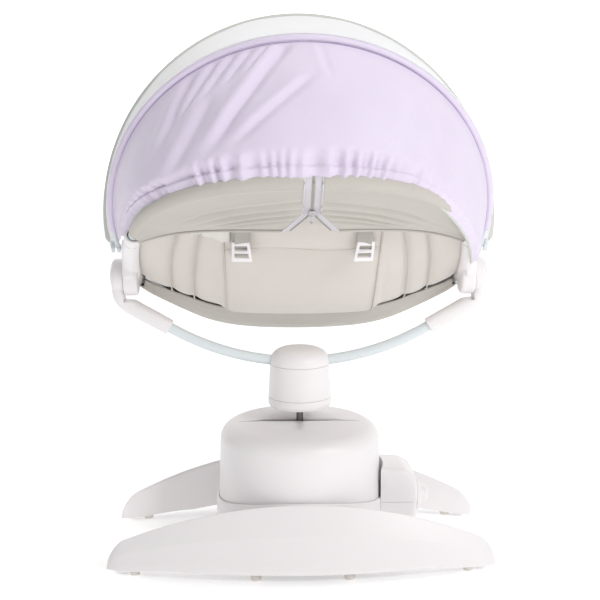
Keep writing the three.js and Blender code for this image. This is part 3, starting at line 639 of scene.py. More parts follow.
class Graph:
    """Builds one material's node tree round its Principled shader."""

    def __init__(self, name: str) -> None:
        """Starts a material of that name."""
        self.material = bpy.data.materials.new(name)
        self.material.use_nodes = True
        self.tree = self.material.node_tree
        self.shader = self.tree.nodes["Principled BSDF"]

    def add(
        self, kind: str, settings: Optional[dict] = None, inputs: Optional[dict] = None, output: object = 0
    ) -> Wire:
        """Adds any node.

        Args:
            kind: the node's type.
            settings: its own settings, and "stops" for a ramp's (place, colour) pairs.
            inputs: values or wires by socket name or number.
            output: the socket to go on from.
        Returns:
            The wire of that output.
        """
        node = self.tree.nodes.new(kind)
        for key, value in (settings or {}).items():
            if key == "stops":
                ramp = node.color_ramp
                ramp.elements[0].position, ramp.elements[0].color = value[0]
                ramp.elements[1].position, ramp.elements[1].color = value[-1]
                for place, colour in value[1:-1]:
                    ramp.elements.new(place).color = colour
            else:
                setattr(node, key, value)
        for key, value in (inputs or {}).items():
            if isinstance(value, Wire):
                self.tree.links.new(value.socket, node.inputs[key])
            else:
                node.inputs[key].default_value = value
        return Wire(self, node.outputs[output])

    def place(self) -> Wire:
        """Object coordinates."""
        return self.add("ShaderNodeTexCoord", output="Object")

    def cloth(self) -> tuple[Wire, Wire]:
        """The cloth's own coordinates in metres, across and down."""
        uv = self.add("ShaderNodeUVMap", {"uv_map": Loom.UV_NAME})
        across = self.add("ShaderNodeSeparateXYZ", inputs={0: uv}, output="X")
        down = self.add("ShaderNodeSeparateXYZ", inputs={0: uv}, output="Y")
        return across, down

    def noise(self, scale: float, detail: float = 2.0, stretch: Optional[Sequence[float]] = None) -> Wire:
        """Noise over the object, squeezed along its axes by stretch."""
        at = self.place()
        if stretch:
            at = self.add("ShaderNodeMapping", inputs={"Vector": at, "Scale": stretch})
        return self.add("ShaderNodeTexNoise", inputs={"Vector": at, "Scale": scale, "Detail": detail})

    def blend(self, share: object, first: object, second: object) -> Wire:
        """A colour between two colours."""
        settings = {"data_type": "RGBA"}
        inputs = {"Factor": share, 6: first, 7: second}
        return self.add("ShaderNodeMix", settings, inputs, 2)

    def bump(self, height: Wire, distance: float, strength: float = 1.0) -> None:
        """Feeds a height into the shader's normal."""
        inputs = {"Height": height, "Distance": distance, "Strength": strength}
        normal = self.add("ShaderNodeBump", inputs=inputs)
        self.feed("Normal", normal)

    def feed(self, name: str, value: object) -> None:
        """Sets or links one of the shader's sockets."""
        if isinstance(value, Wire):
            self.tree.links.new(value.socket, self.shader.inputs[name])
        else:
            self.shader.inputs[name].default_value = value


Colour = tuple[float, float, float]


def opaque(colour: Colour, gain: float = 1.0) -> tuple[float, float, float, float]:
    """A colour made lighter or darker by a gain, with full alpha."""
    return tuple(min(1.0, channel * gain) for channel in colour) + (1.0,)


# ------------------------------------------------------------------ finishes
@dataclass(frozen=True)
class Moulded:
    """Injection-moulded plastic with spark-eroded grain and a few rubbed, glossier places."""

    name: str
    colour: Colour
    roughness: float = 0.42
    grain: float = 0.00003
    drift: float = 0.03

    def build(self) -> bpy.types.Material:
        """Makes the material."""
        graph = Graph(self.name)
        clouds = graph.noise(5.0, 3.0)
        dull = opaque(self.colour, 1 - self.drift)
        graph.feed("Base Color", graph.blend(clouds, dull, opaque(self.colour)))
        rubbed = graph.noise(38.0, 4.0)
        graph.feed("Roughness", self.roughness - 0.12 * (rubbed - 0.5))
        fine = graph.noise(2600.0, 1.0)
        waves = graph.noise(22.0, 1.0)
        graph.bump(fine + 2.0 * waves, self.grain, 0.5)
        graph.feed("IOR", 1.49)
        return graph.material


@dataclass(frozen=True)
class PowderCoat:
    """Pale powder-coated steel tube with orange peel."""

    name: str
    colour: Colour
    roughness: float = 0.34

    def build(self) -> bpy.types.Material:
        """Makes the material."""
        graph = Graph(self.name)
        clouds = graph.noise(9.0, 2.0)
        graph.feed("Base Color", graph.blend(clouds, opaque(self.colour, 0.96), opaque(self.colour, 1.02)))
        peel = graph.noise(900.0, 1.5)
        graph.feed("Roughness", self.roughness + 0.1 * (peel - 0.5))
        graph.bump(peel, 0.00006, 0.45)
        graph.feed("Coat Weight", 0.25)
        graph.feed("Coat Roughness", 0.2)
        return graph.material


@dataclass(frozen=True)
class Steel:
    """Ground or cast metal with marks along one axis."""

    name: str
    colour: Colour
    roughness: float = 0.3
    marks: tuple[float, float, float] = (1.0, 1.0, 0.05)

    def build(self) -> bpy.types.Material:
        """Makes the material."""
        graph = Graph(self.name)
        scratches = graph.noise(1500.0, 3.0, self.marks)
        stains = graph.noise(60.0, 3.0)
        graph.feed("Base Color", graph.blend(stains, opaque(self.colour, 0.85), opaque(self.colour, 1.1)))
        graph.feed("Metallic", 1.0)
        graph.feed("Roughness", self.roughness + 0.18 * (scratches - 0.5) + 0.1 * (stains - 0.5))
        graph.bump(scratches, 0.00002, 0.6)
        return graph.material


@dataclass(frozen=True)
class Winding:
    """Enamelled copper wire wound in layers about Z, with painted shade between the turns and a painted highlight
    on their crowns.
    """

    name: str
    colour: Colour
    pitch: float = 0.0007

    def build(self) -> bpy.types.Material:
        """Makes the material."""
        graph = Graph(self.name)
        height = graph.add("ShaderNodeSeparateXYZ", inputs={0: graph.place()}, output="Z")
        crowns_and_groove_shade = abs((height * (math.pi / self.pitch)).sin())
        # base colour: painted shade in the grooves between turns (0.35) and a painted highlight on the wire crowns
        # (1.15)
        graph.feed("Base Color", graph.blend(crowns_and_groove_shade, opaque(self.colour, 0.35), opaque(self.colour, 1.15)))
        graph.feed("Metallic", 0.9)
        graph.feed("Roughness", 0.42 - 0.14 * crowns_and_groove_shade)
        graph.bump(crowns_and_groove_shade, 0.0003, 0.8)
        return graph.material


@dataclass(frozen=True)
class CircuitBoard:
    """Fibreglass board with copper tracks under green lacquer."""

    name: str
    colour: Colour

    def build(self) -> bpy.types.Material:
        """Makes the material."""
        graph = Graph(self.name)
        settings = {"offset": 0.35}
        inputs = {"Vector": graph.place(), "Scale": 120.0, "Mortar Size": 0.035, "Mortar Smooth": 0.1}
        tracks = graph.add("ShaderNodeTexBrick", settings, inputs, "Fac")
        graph.feed("Base Color", graph.blend(tracks, opaque(self.colour), opaque(self.colour, 2.4)))
        graph.feed("Roughness", 0.35 + 0.2 * graph.noise(300.0))
        graph.bump(tracks, 0.00006, 0.7)
        return graph.material


class Weave(Enum):
    """How a cloth is made."""

    KNIT = "knit"
    SATIN = "satin"
    VOILE = "voile"
    BRUSHED = "brushed"
    WEBBING = "webbing"


@dataclass(frozen=True)
class Cloth:
    """Cloth whose threads follow its own metric UV map, or the object for a padded shell."""

    name: str
    colour: Colour
    weave: Weave
    pitch: float
    roughness: float = 0.85
    sheen: float = 0.3
    depth: float = 0.00012
    metric: bool = True

    def threads(self, graph: Graph) -> Wire:
        """The height of the threads, 0 to about 1."""
        if self.metric:
            across, down = graph.cloth()
        else:
            across = graph.add("ShaderNodeSeparateXYZ", inputs={0: graph.place()}, output="X")
            down = graph.add("ShaderNodeSeparateXYZ", inputs={0: graph.place()}, output="Y")
        turn = 2 * math.pi / self.pitch
        warp = (across * turn).sin()
        weft = (down * turn).sin()
        if self.weave is Weave.KNIT:
            stitch = (down * turn + 2.2 * abs((across * (0.5 * turn)).sin())).sin()
            return 0.5 + 0.3 * stitch + 0.2 * abs(warp)
        if self.weave is Weave.SATIN:
            return 0.5 + 0.35 * ((across + 0.35 * down) * turn).sin() + 0.15 * weft
        if self.weave is Weave.WEBBING:
            return 0.5 + 0.3 * abs(warp) + 0.3 * ((down * turn + 2.0 * warp).sin())
        if self.weave is Weave.VOILE:
            return 0.5 + 0.25 * warp + 0.25 * weft
        nap = graph.noise(1400.0, 3.0)
        return 0.35 * nap + 0.3 + 0.2 * warp * weft

    def build(self) -> bpy.types.Material:
        """Makes the material."""
        graph = Graph(self.name)
        threads = self.threads(graph)
        clouds = graph.noise(14.0, 4.0)
        fuzz = graph.noise(420.0, 2.0)
        share = 0.45 * threads + 0.3 * clouds + 0.25 * fuzz
        graph.feed("Base Color", graph.blend(share, opaque(self.colour, 0.86), opaque(self.colour, 1.12)))
        graph.feed("Roughness", self.roughness - 0.08 * threads + 0.1 * (clouds - 0.5))
        graph.feed("Sheen Weight", self.sheen)
        graph.feed("Sheen Roughness", 0.45)
        graph.feed("Specular IOR Level", 0.25 if self.roughness > 0.6 else 0.45)
        graph.bump(threads + 0.6 * fuzz, self.depth, 0.7)
        return graph.material


class Finishes:
    """Every finish of the swing, each built once and named by the record's slot."""

    def __init__(self) -> None:
        """Builds the materials."""
        rubber_like = dict(roughness=0.8, grain=0.00008)
        recipes = {
            "white_shell": Moulded("white_shell", (0.89, 0.862, 0.87), 0.4),
            "inner_plastic": Moulded("inner_plastic", (0.7, 0.7, 0.68), 0.6),
            "foot_rubber": Moulded("foot_rubber", (0.72, 0.68, 0.64), **rubber_like),
            "bare_steel": Steel("bare_steel", (0.2, 0.205, 0.2), 0.34),
            "coated_tube": PowderCoat("coated_tube", (0.735, 0.79, 0.81)),
            "coil_copper": Winding("coil_copper", (0.62, 0.28, 0.12)),
            "circuit_board": CircuitBoard("circuit_board", (0.03, 0.15, 0.07)),
            "magnet_grey": Steel("magnet_grey", (0.16, 0.16, 0.17), 0.5, (1.0, 1.0, 1.0)),
            "cover_knit": Cloth("cover_knit", (0.56, 0.53, 0.485), Weave.KNIT, 0.0011),
            "liner_knit": Cloth("liner_knit", (0.7, 0.655, 0.61), Weave.BRUSHED, 0.0016, 0.92, 0.35),
            "webbing": Cloth("webbing", (0.44, 0.42, 0.38), Weave.WEBBING, 0.0016, 0.8, 0.15, 0.0003),
            "zip_metal": Steel("zip_metal", (0.72, 0.72, 0.74), 0.3, (1.0, 1.0, 1.0)),
            "lavender_satin": Cloth("lavender_satin", (0.78, 0.70, 0.85), Weave.SATIN, 0.0008, 0.5, 0.5),
            "roof_cloth": Cloth("roof_cloth", (0.86, 0.86, 0.87), Weave.VOILE, 0.0009, 0.7, 0.3),
        }
        self.made = {slot: recipe.build() for slot, recipe in recipes.items()}
        self.made["edge_binding"] = Cloth(
            "edge_binding", (0.62, 0.63, 0.59), Weave.WEBBING, 0.0009, 0.8, 0.2, metric=False).build()
        self.made["seam_thread"] = Cloth(
            "seam_thread", (0.42, 0.33, 0.56), Weave.WEBBING, 0.0009, 0.7, 0.2, metric=False).build()
        self.made["liner_piping"] = Cloth(
            "liner_piping", (0.6, 0.56, 0.51), Weave.WEBBING, 0.0009, 0.85, 0.2, metric=False).build()
        self.made["zip_tape"] = Cloth("zip_tape", (0.66, 0.64, 0.68), Weave.WEBBING, 0.001, 0.75, 0.2).build()
        self.made["blank_label"] = Cloth("blank_label", (0.76, 0.74, 0.7), Weave.VOILE, 0.0006, 0.6, 0.1).build()
        self.made["pad_knit"] = Cloth(
            "pad_knit", (0.7, 0.655, 0.61), Weave.BRUSHED, 0.0016, 0.92, 0.35, metric=False).build()

    def dress(self, obj: bpy.types.Object, finish: str) -> None:
        """Puts a finish on an object in place of what it had."""
        obj.data.materials.clear()
        obj.data.materials.append(self.made[finish])


@dataclass
class Assembly:
    """A sub-assembly that hands its finished pieces to the frame."""

    finishes: Finishes
    body: str = ""

    def keep(
        self, obj: bpy.types.Object, finish: str, replaces: Sequence[str] = (),
        slot: str = "", body: str = "", smooth: Optional[float] = 38.0,
    ) -> bpy.types.Object:
        """Moves a piece onto the frame, dresses it and lets it ride on its body.

        Args:
            obj: the piece, made from the drum's axis.
            finish: the finish's name.
            replaces: CAD nodes that it stands for.
            slot: the record's slot, when it isn't the finish's name; not used.
            body: the body, when it isn't the assembly's.
            smooth: the angle that still shades smoothly, or None for cloth.
        Returns:
            The piece.
        """
        obj.data.transform(Matrix.Translation((0, DATUM.shift, 0)))
        if smooth is not None:
            Workbench.shade(obj, smooth)
        self.finishes.dress(obj, finish)
        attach(obj, body or self.body)
        slot or finish
        if replaces:
            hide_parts(*replaces)
        log.info("%s: %d faces", obj.name, len(obj.data.polygons))
        return obj

    def dress_nodes(self, finishes: dict[str, str]) -> None:
        """Puts finishes on CAD nodes that stay visible, by node name."""
        for node, finish in finishes.items():
            self.finishes.dress(frame["nodes"][node], finish)


# ------------------------------------------------------------------ base
@dataclass
class BaseUnit(Assembly):
    """The drum with its skirt, two crescent feet, the side pod with its dial, and what they hide."""

    body: str = "base"
    wall: float = 0.003
    plate_top: float = 0.016
    seam_low: float = 0.080
    seam_high: float = 0.105
    slot_length: float = 0.093
    slot_width: float = 0.0068
    foot_inner: float = 0.1255
    foot_outer: float = 0.158
    foot_ends_low: float = 0.072
    pad_places: tuple[float, ...] = (-0.238, -0.066, 0.066, 0.238)
    pod_left: float = 0.112
    pod_right: float = 0.174
    pod_top: float = 0.128
    pod_half: float = 0.038
    jack_place: tuple[float, float] = (0.152, 0.038)

    def drum(self) -> bpy.types.Object:
        """The domed drum cover with its crescent slot."""
        top, low = DATUM.drum_top, self.seam_low - 0.004
        radius = DATUM.drum_radius

        def wall_line(inset: float) -> list[tuple[float, float]]:
            """The wall's outline drawn in by an inset, from the pole down."""
            corners = [
                (0, top - inset, 0),
                (0.055, top - 0.0006 - inset, 0.03),
                (radius - 0.0035 - inset, top - 0.0045 - inset, 0.026),
                (radius - inset, low, 0),
            ]
            return rounded(corners, 12)

        drum = Workbench.turned("drum_shell", wall_line(0) + wall_line(self.wall)[::-1], segments=144)
        turns = [2 * math.pi * i / 96 for i in range(96)]
        lens = [
            Vector((self.slot_length * math.cos(a), self.slot_width * math.sin(a) * abs(math.sin(a)), 0))
            for a in turns
        ]
        levels = [Vector((0, 0, z)) for z in (0.15, top + 0.02)]
        rings = [[level + point for point in lens] for level in levels]
        slot = Workbench.skin("tool", [[levels[0]] * 96, *rings, [levels[1]] * 96])
        Workbench.boolean(drum, [slot], "DIFFERENCE")
        return Workbench.modify(
            drum, "BEVEL", width=0.0009, segments=2, limit_method="ANGLE", angle_limit=math.radians(55)
        )

    def skirt(self) -> bpy.types.Object:
        """The lower housing; its upper edge rises towards the two feet."""
        inner, outer = DATUM.drum_radius + 0.0005, DATUM.housing_radius
        turns = [2 * math.pi * i / 144 for i in range(144)]
        profile = [
            (inner, -1), (outer, -1), (outer, -0.004), (outer - 0.0004, -0.0016),
            (outer - 0.0014, -0.0003), (inner + 0.0012, 0), (inner, -0.0002), (inner, -1),
        ]
        rings = []
        for radius, drop in profile:
            ring = []
            for a in turns:
                seam = self.seam_low + (self.seam_high - self.seam_low) * math.sin(a) ** 2
                level = self.plate_top if drop == -1 else seam + drop
                ring.append(Vector((radius * math.cos(a), radius * math.sin(a), level)))
            rings.append(ring)
        return Workbench.skin("skirt_shell", rings)

    def foot_section(self, x: float, inset: float) -> list[Vector]:
        """Cross-section of a crescent foot at x, drawn in by an inset for its hollow."""
        share = abs(x) / DATUM.foot_half
        past = max(0.0, (share - 0.91) / 0.09)
        taper = math.sqrt(max(0.004, 1 - past * past))
        inner = self.foot_inner - 0.032 * share * share
        outer = self.foot_outer - 0.048 * share * share
        half = (outer - inner) / 2 * (0.3 + 0.7 * taper) - inset
        middle = (inner + outer) / 2
        floor = DATUM.pad_height - 0.0075 * ease(0.62, 0.97, share)
        crown = DATUM.foot_ridge - self.foot_ends_low * share * share - floor
        tall = crown * taper - 3 * inset
        arch = 0.014 * max(0.0, 1 - (share / 0.6) ** 2) * taper
        bottom = floor - (0.005 if inset > 0 else 0.0)
        corners = [
            (middle - half, bottom if inset > 0 else floor + arch, 0),
            (middle - 0.97 * half, floor + 0.93 * tall, 0.25 * half),
            (middle - 0.72 * half, floor + tall, 0.5 * half),
            (middle + 0.28 * half, floor + 0.56 * tall, 0.9 * half),
            (middle + 0.9 * half, floor + 0.16 * tall, 0.25 * half),
            (middle + half, floor + 0.07 * tall, 0.02 * half),
            (middle + half, bottom + 0.0012 * taper, 0.0012),
            (middle + half - 0.0015, bottom, 0),
        ]
        return [Vector((x, y, z)) for y, z in rounded(corners, 5)]

    def foot(self) -> bpy.types.Object:
        """The foot on the +Y side, hollow from below, with bosses over its pads."""
        def loft(half: float, inset: float, name: str) -> bpy.types.Object:
            """Cross-sections skinned from tip to tip."""
            rings = [self.foot_section(-half * math.cos(math.pi * t), inset) for t in spread(84)]
            return Workbench.capped(name, rings)

        foot = loft(DATUM.foot_half, 0.0, "foot_shell")
        hollow = loft(DATUM.foot_half - 0.016, self.wall, "tool")
        bosses = [
            Workbench.cylinder(0.010, 0, 0.14, centre=(x, self.pad_y(x), 0), sides=32) for x in self.pad_places
        ]
        Workbench.boolean(hollow, bosses, "DIFFERENCE")
        return Workbench.boolean(foot, [hollow], "DIFFERENCE")

    def pad_y(self, x: float) -> float:
        """Where a pad stands under the foot."""
        return (self.foot_inner + self.foot_outer) / 2 - 0.040 * (x / DATUM.foot_half) ** 2

    def pad(self) -> bpy.types.Object:
        """A moulded rubber foot pad with a recessed ring."""
        top = DATUM.pad_height
        corners = [
            (0, 0.0006, 0), (0.0032, 0.0006, 0.0003), (0.0036, 0, 0.0003), (0.0068, 0, 0.0016),
            (0.0078, 0.004, 0.002), (0.0087, top - 0.0002, 0.0004), (0, top - 0.0002, 0),
        ]
        return Workbench.turned("pad_shell", rounded(corners, 3), segments=40)

    def pod(self) -> bpy.types.Object:
        """The side pod as an upper cover over a slightly drawn-in lower one."""
        crease = DATUM.dial_z
        corners = [
            (self.pod_left, self.plate_top, 0), (self.pod_right - 0.002, self.plate_top, 0.003),
            (self.pod_right + 0.0005, crease, 0.03), (self.pod_right - 0.001, self.pod_top - 0.016, 0.024),
            (self.pod_right - 0.02, self.pod_top - 0.002, 0.02), (self.pod_left, self.pod_top, 0),
        ]

        def cover(name: str, inset: float) -> bpy.types.Object:
            """The pod's outline swept along Y with soft edges."""
            outline = [Vector((x, 0, z)) for x, z in rounded(corners, 8)]
            middle = Vector((self.pod_left, 0, (self.plate_top + self.pod_top) / 2))
            half = self.pod_half - inset
            levels = [(-half, 0.006), (-half + 0.0012, 0.003), (-half + 0.0035, 0.0009), (-half + 0.007, 0.0)]
            levels += [(-y, draw) for y, draw in levels[::-1]]
            rings = []
            for y, draw in levels:
                ring = []
                for point in outline:
                    toward = (middle - point).normalized() * (draw + inset)
                    ring.append(point + toward + Vector((0, y, 0)))
                rings.append(ring)
            return Workbench.capped(name, rings)

        upper, lower = cover("pod_shell", 0.0), cover("lower", 0.0007)
        for piece, side, level in ((upper, 1, crease + 0.0003), (lower, -1, crease - 0.0003)):
            Workbench.pick(piece)
            bpy.ops.object.mode_set(mode="EDIT")
            bpy.ops.mesh.select_all(action="SELECT")
            bpy.ops.mesh.bisect(
                plane_co=(0, 0, level), plane_no=(0, 0, -side), use_fill=True, clear_outer=True
            )
            bpy.ops.object.mode_set(mode="OBJECT")
        tools = [Workbench.cylinder(DATUM.housing_radius + 0.0003, 0, 0.2, sides=144)]
        Workbench.boolean(upper, [Workbench.copy(tools[0], "upper_tool")], "DIFFERENCE")
        x, z = self.jack_place
        tools.append(Workbench.cylinder(0.0063, 0.03, 0.05, "y", (x, 0, z), 32))
        Workbench.boolean(lower, tools, "DIFFERENCE")
        return Workbench.join("pod_shell", [upper, lower])

    def knob(self) -> bpy.types.Object:
        """The speed dial: a thin skirt, a domed grip and a raised pointer."""
        face = self.pod_right
        corners = [
            (0, face + 0.0006, 0), (0.0225, face + 0.0006, 0.0004), (0.0245, face + 0.0022, 0.0009),
            (0.0236, face + 0.0048, 0.0016), (0.0150, face + 0.0072, 0.0016), (0.0138, face + 0.0105, 0.003),
            (0.0120, face + 0.0182, 0.0065), (0, face + 0.0212, 0),
        ]
        knob = Workbench.turned("dial_knob", rounded(corners, 6), "x", (0, 0, DATUM.dial_z), 96)
        pointer = Workbench.block(
            (0.0016, 0.0014, 0.0075), (face + 0.0062, 0, DATUM.dial_z + 0.0188), 0.0005)
        return Workbench.join("dial_knob", [knob, pointer])

    def ticks(self) -> bpy.types.Object:
        """Small raised dots round the dial, growing with the speed."""
        dots = []
        for i in range(7):
            angle = math.radians(-135 + 45 * i)
            size = mix(0.0006, 0.0013, i / 6)
            outline = [(0, 0.0006), (0.6 * size, 0.0005), (size, 0.0), (size, -0.0012), (0, -0.0012)]
            centre = (self.pod_right - 0.0004, 0.0285 * math.sin(angle), DATUM.dial_z + 0.0285 * math.cos(angle))
            dots.append(Workbench.turned("dot", [(r, h) for r, h in outline], "x", centre, 16))
        return Workbench.join("dial_ticks", dots)

    def build(self) -> None:
        """Makes and keeps the base's pieces and dresses what stays from the frame."""
        self.keep(self.drum(), "white_shell", ["drum_cover"])
        self.keep(self.skirt(), "white_shell", ["lower_housing"])
        foot = self.foot()
        rear = Workbench.copy(foot, "rear_foot_shell")
        rear.data.transform(Matrix.Diagonal((1, -1, 1, 1)))
        rear.data.flip_normals()
        foot.name = "front_foot_shell"
        self.keep(rear, "white_shell", ["rear_foot"])
        self.keep(foot, "white_shell", ["front_foot"])
        pad = self.pad()
        for end, side in (("rear", -1), ("front", 1)):
            for i, x in enumerate(self.pad_places):
                twin = Workbench.copy(pad, f"{end}_pad_{i + 1}", move=(x, side * self.pad_y(x), 0))
                self.keep(twin, "foot_rubber", [f"{end}_foot_pad_{i + 1}"])
        bpy.data.objects.remove(pad)
        self.keep(self.pod(), "white_shell", ["side_pod"])
        self.keep(self.knob(), "white_shell", ["speed_knob"], body="speed_knob")
        self.keep(self.ticks(), "inner_plastic")
        inner = ("power_jack", "battery_box", "battery_door", "pivot_frame", "base_plate")
        self.dress_nodes(dict.fromkeys(inner, "inner_plastic"))
        metal = ("door_screw", "rear_bearing", "front_bearing", "return_spring")
        self.dress_nodes(dict.fromkeys(metal, "bare_steel"))
        self.dress_nodes({"drive_coil": "coil_copper", "control_board": "circuit_board", "speaker": "magnet_grey"})


# ------------------------------------------------------------------ swing arm
@dataclass
class SwingArm(Assembly):
    """The hub cup on its stem, the U-shaped carrier and the two elbows that hold the seat."""

    body: str = "swing_arm"
    cup_bottom: float = 0.216
    cup_seam: float = 0.231
    cup_lid: float = 0.280
    cup_top: float = 0.304
    cup_radius: float = 0.0465
    cup_neck: float = 0.0436
    carrier_low: float = 0.2825
    carrier_bend: float = 0.373
    carrier_tube: float = 0.0075
    elbow_x: float = 0.264
    elbow_half: float = 0.009
    hub_radius: float = 0.025
    button_radius: float = 0.0125

    def carrier_at(self, angle: float) -> Vector:
        """The carrier's centre line by the angle at its arc's centre."""
        x = self.carrier_bend * math.sin(angle)
        return Vector((x, 0, self.carrier_low + self.carrier_bend * (1 - math.cos(angle))))

    def cup_parts(self) -> list[bpy.types.Object]:
        """The cup's lower ring, its wall and its domed lid, with fine seams between them."""
        neck, wall = 0.0055, 0.003
        lower = [
            (neck, self.cup_bottom, 0), (self.cup_radius - 0.0025, self.cup_bottom, 0.003),
            (self.cup_radius + 0.0001, self.cup_bottom + 0.005, 0.004),
            (self.cup_radius + 0.0001, self.cup_seam - 0.0004, 0.0006),
            (self.cup_radius - wall, self.cup_seam - 0.0004, 0),
            (self.cup_radius - wall, self.cup_bottom + 0.005, 0),
            (neck, self.cup_bottom + 0.005, 0), (neck, self.cup_bottom, 0),
        ]
        middle = [
            (self.cup_radius - wall, self.cup_seam, 0), (self.cup_radius, self.cup_seam, 0.0006),
            (self.cup_neck + 0.0008, self.cup_lid - 0.012, 0.02), (self.cup_neck, self.cup_lid - 0.0004, 0.0005),
            (self.cup_neck - wall, self.cup_lid - 0.0004, 0), (self.cup_radius - wall, self.cup_seam, 0),
        ]
        dome = [(self.cup_neck - wall, self.cup_lid), (self.cup_neck - 0.0004, self.cup_lid)]
        for t in spread(20):
            angle = t * math.pi / 2
            rise = (self.cup_top - self.cup_lid) * math.sin(angle) ** 0.8
            dome.append((self.cup_neck * math.cos(angle) ** 0.62, self.cup_lid + 0.0003 + rise))
        dome[-1] = (0.0, self.cup_top)
        dome.append((0.0, self.cup_top - wall))
        dome += [(self.cup_neck - wall - 0.006, self.cup_top - 0.008), (self.cup_neck - wall, self.cup_lid)]
        pieces = [
            Workbench.turned("hub_lower_ring", rounded(lower, 4)),
            Workbench.turned("hub_wall", rounded(middle, 4)),
            Workbench.turned("hub_lid", dome),
        ]
        for piece in pieces[1:]:
            hole = Workbench.cylinder(
                self.carrier_tube + 0.0008, -0.06, 0.06, "x", (0, 0, self.carrier_low + 0.0012), 40)
            Workbench.boolean(piece, [hole], "DIFFERENCE")
        return pieces

    def stem(self) -> bpy.types.Object:
        """The steel stem with a crimped collar where it enters the cup."""
        low, high = DATUM.pivot_z + 0.015, self.carrier_low - self.carrier_tube - 0.003
        corners = [
            (0, low, 0), (0.005, low, 0.0005), (0.005, 0.2065, 0), (0.0058, 0.2075, 0.0004),
            (0.0058, 0.2095, 0.0004), (0.005, 0.2105, 0), (0.005, high, 0.0005), (0, high, 0),
        ]
        return Workbench.turned("steel_stem", rounded(corners, 3), segments=48)

    def arm(self) -> bpy.types.Object:
        """The +X half of the carrier tube."""
        start, end = math.asin(0.008 / self.carrier_bend), math.asin(0.2 / self.carrier_bend)
        path = [self.carrier_at(mix(start, end, t)) for t in spread(56)]
        return Workbench.tube("right_arm_tube", path, self.carrier_tube, 28, up=(0, 1, 0))

    def elbow(self) -> bpy.types.Object:
        """The +X elbow: a sleeve on the carrier that sweeps up into the recline hub."""
        angle = math.asin(0.19 / self.carrier_bend)
        start = self.carrier_at(angle)
        points = [
            start,
            start + Vector((math.cos(angle), 0, math.sin(angle))) * 0.062,
            Vector((self.elbow_x, 0, DATUM.hub_z - 0.042)),
            Vector((self.elbow_x, 0, DATUM.hub_z - 0.016)),
        ]
        rings = []
        for t in spread(40):
            weights = ((1 - t) ** 3, 3 * t * (1 - t) ** 2, 3 * t * t * (1 - t), t ** 3)
            centre = sum((p * w for p, w in zip(points, weights)), Vector())
            slope = sum((
                (b - a) * w for a, b, w in
                zip(points, points[1:], ((1 - t) ** 2, 2 * t * (1 - t), t * t))
            ), Vector()).normalized()
            across = Vector((slope.z, 0, -slope.x))
            wide, deep = mix(0.0112, 0.009, t), mix(0.0112, 0.0185, t)
            wide += 0.0012 * math.sin(math.pi * t)
            rings.append([
                centre + across * wide * signed_power(math.cos(a), 0.82)
                + Vector((0, deep * signed_power(math.sin(a), 0.82), 0))
                for a in (2 * math.pi * k / 48 for k in range(48))
            ])
        body = Workbench.skin("right_elbow_shell", [[points[0]] * 48, *rings, [points[-1]] * 48])
        inner, outer = self.elbow_x - self.elbow_half, self.elbow_x + self.elbow_half
        disc = [
            (0, inner, 0), (self.hub_radius, inner, 0.001), (self.hub_radius, outer - 0.004, 0.006),
            (self.hub_radius - 0.007, outer, 0.005), (0, outer, 0),
        ]
        hub = Workbench.turned("hub", rounded(disc, 6), "x", (0, 0, DATUM.hub_z), 72)
        Workbench.boolean(body, [hub], "UNION")
        Workbench.melt(body, 0.0011, 8)
        flat = Workbench.block((0.06, 0.08, 0.09), (inner - 0.0298, 0, DATUM.hub_z + 0.008))
        centre = (0, 0, DATUM.hub_z)
        pocket = Workbench.cylinder(self.button_radius + 0.0005, self.elbow_x - 0.006, 0.29, "x", centre)
        pin = Workbench.cylinder(0.0063, self.elbow_x - 0.02, self.elbow_x, "x", centre, 32)
        sleeve_path = [self.carrier_at(math.asin(mix(0.18, 0.201, t) / self.carrier_bend)) for t in spread(6)]
        sleeve = Workbench.tube("tool", sleeve_path, self.carrier_tube + 0.0004, 28, up=(0, 1, 0))
        return Workbench.boolean(body, [flat, pocket, pin, sleeve], "DIFFERENCE")

    def button(self) -> bpy.types.Object:
        """The +X recline button with a dished face."""
        inner, outer = self.elbow_x - 0.002, self.elbow_x + self.elbow_half + 0.0016
        corners = [
            (0, inner, 0), (self.button_radius, inner, 0.0004), (self.button_radius, outer - 0.0008, 0.0018),
            (self.button_radius - 0.0028, outer, 0.0012), (0.006, outer - 0.0009, 0.004), (0, outer - 0.0012, 0),
        ]
        return Workbench.turned("right_button_cap", rounded(corners, 5), "x", (0, 0, DATUM.hub_z), 64)

    def build(self) -> None:
        """Makes and keeps the arm's pieces."""
        for piece, node in zip(self.cup_parts(), ("hub_ring", "hub_cup", "hub_dome")):
            self.keep(piece, "white_shell", [node])
        self.keep(self.stem(), "bare_steel", ["stem"])
        pairs = (
            (self.arm(), "arm_tube", "coated_tube", "carrier_arm", self.body),
            (self.elbow(), "elbow_shell", "white_shell", "elbow", self.body),
            (self.button(), "button_cap", "white_shell", "recline_button", ""),
        )
        for right, name, finish, node, body in pairs:
            left = Workbench.copy(right, f"left_{name}", flip=True)
            self.keep(right, finish, [f"right_{node}"], body=body or f"right_{node}")
            self.keep(left, finish, [f"left_{node}"], body=body or f"left_{node}")
        self.dress_nodes({
            "axle": "bare_steel", "swing_yoke": "inner_plastic", "magnet": "magnet_grey",
            "slot_shield": "white_shell",
        })


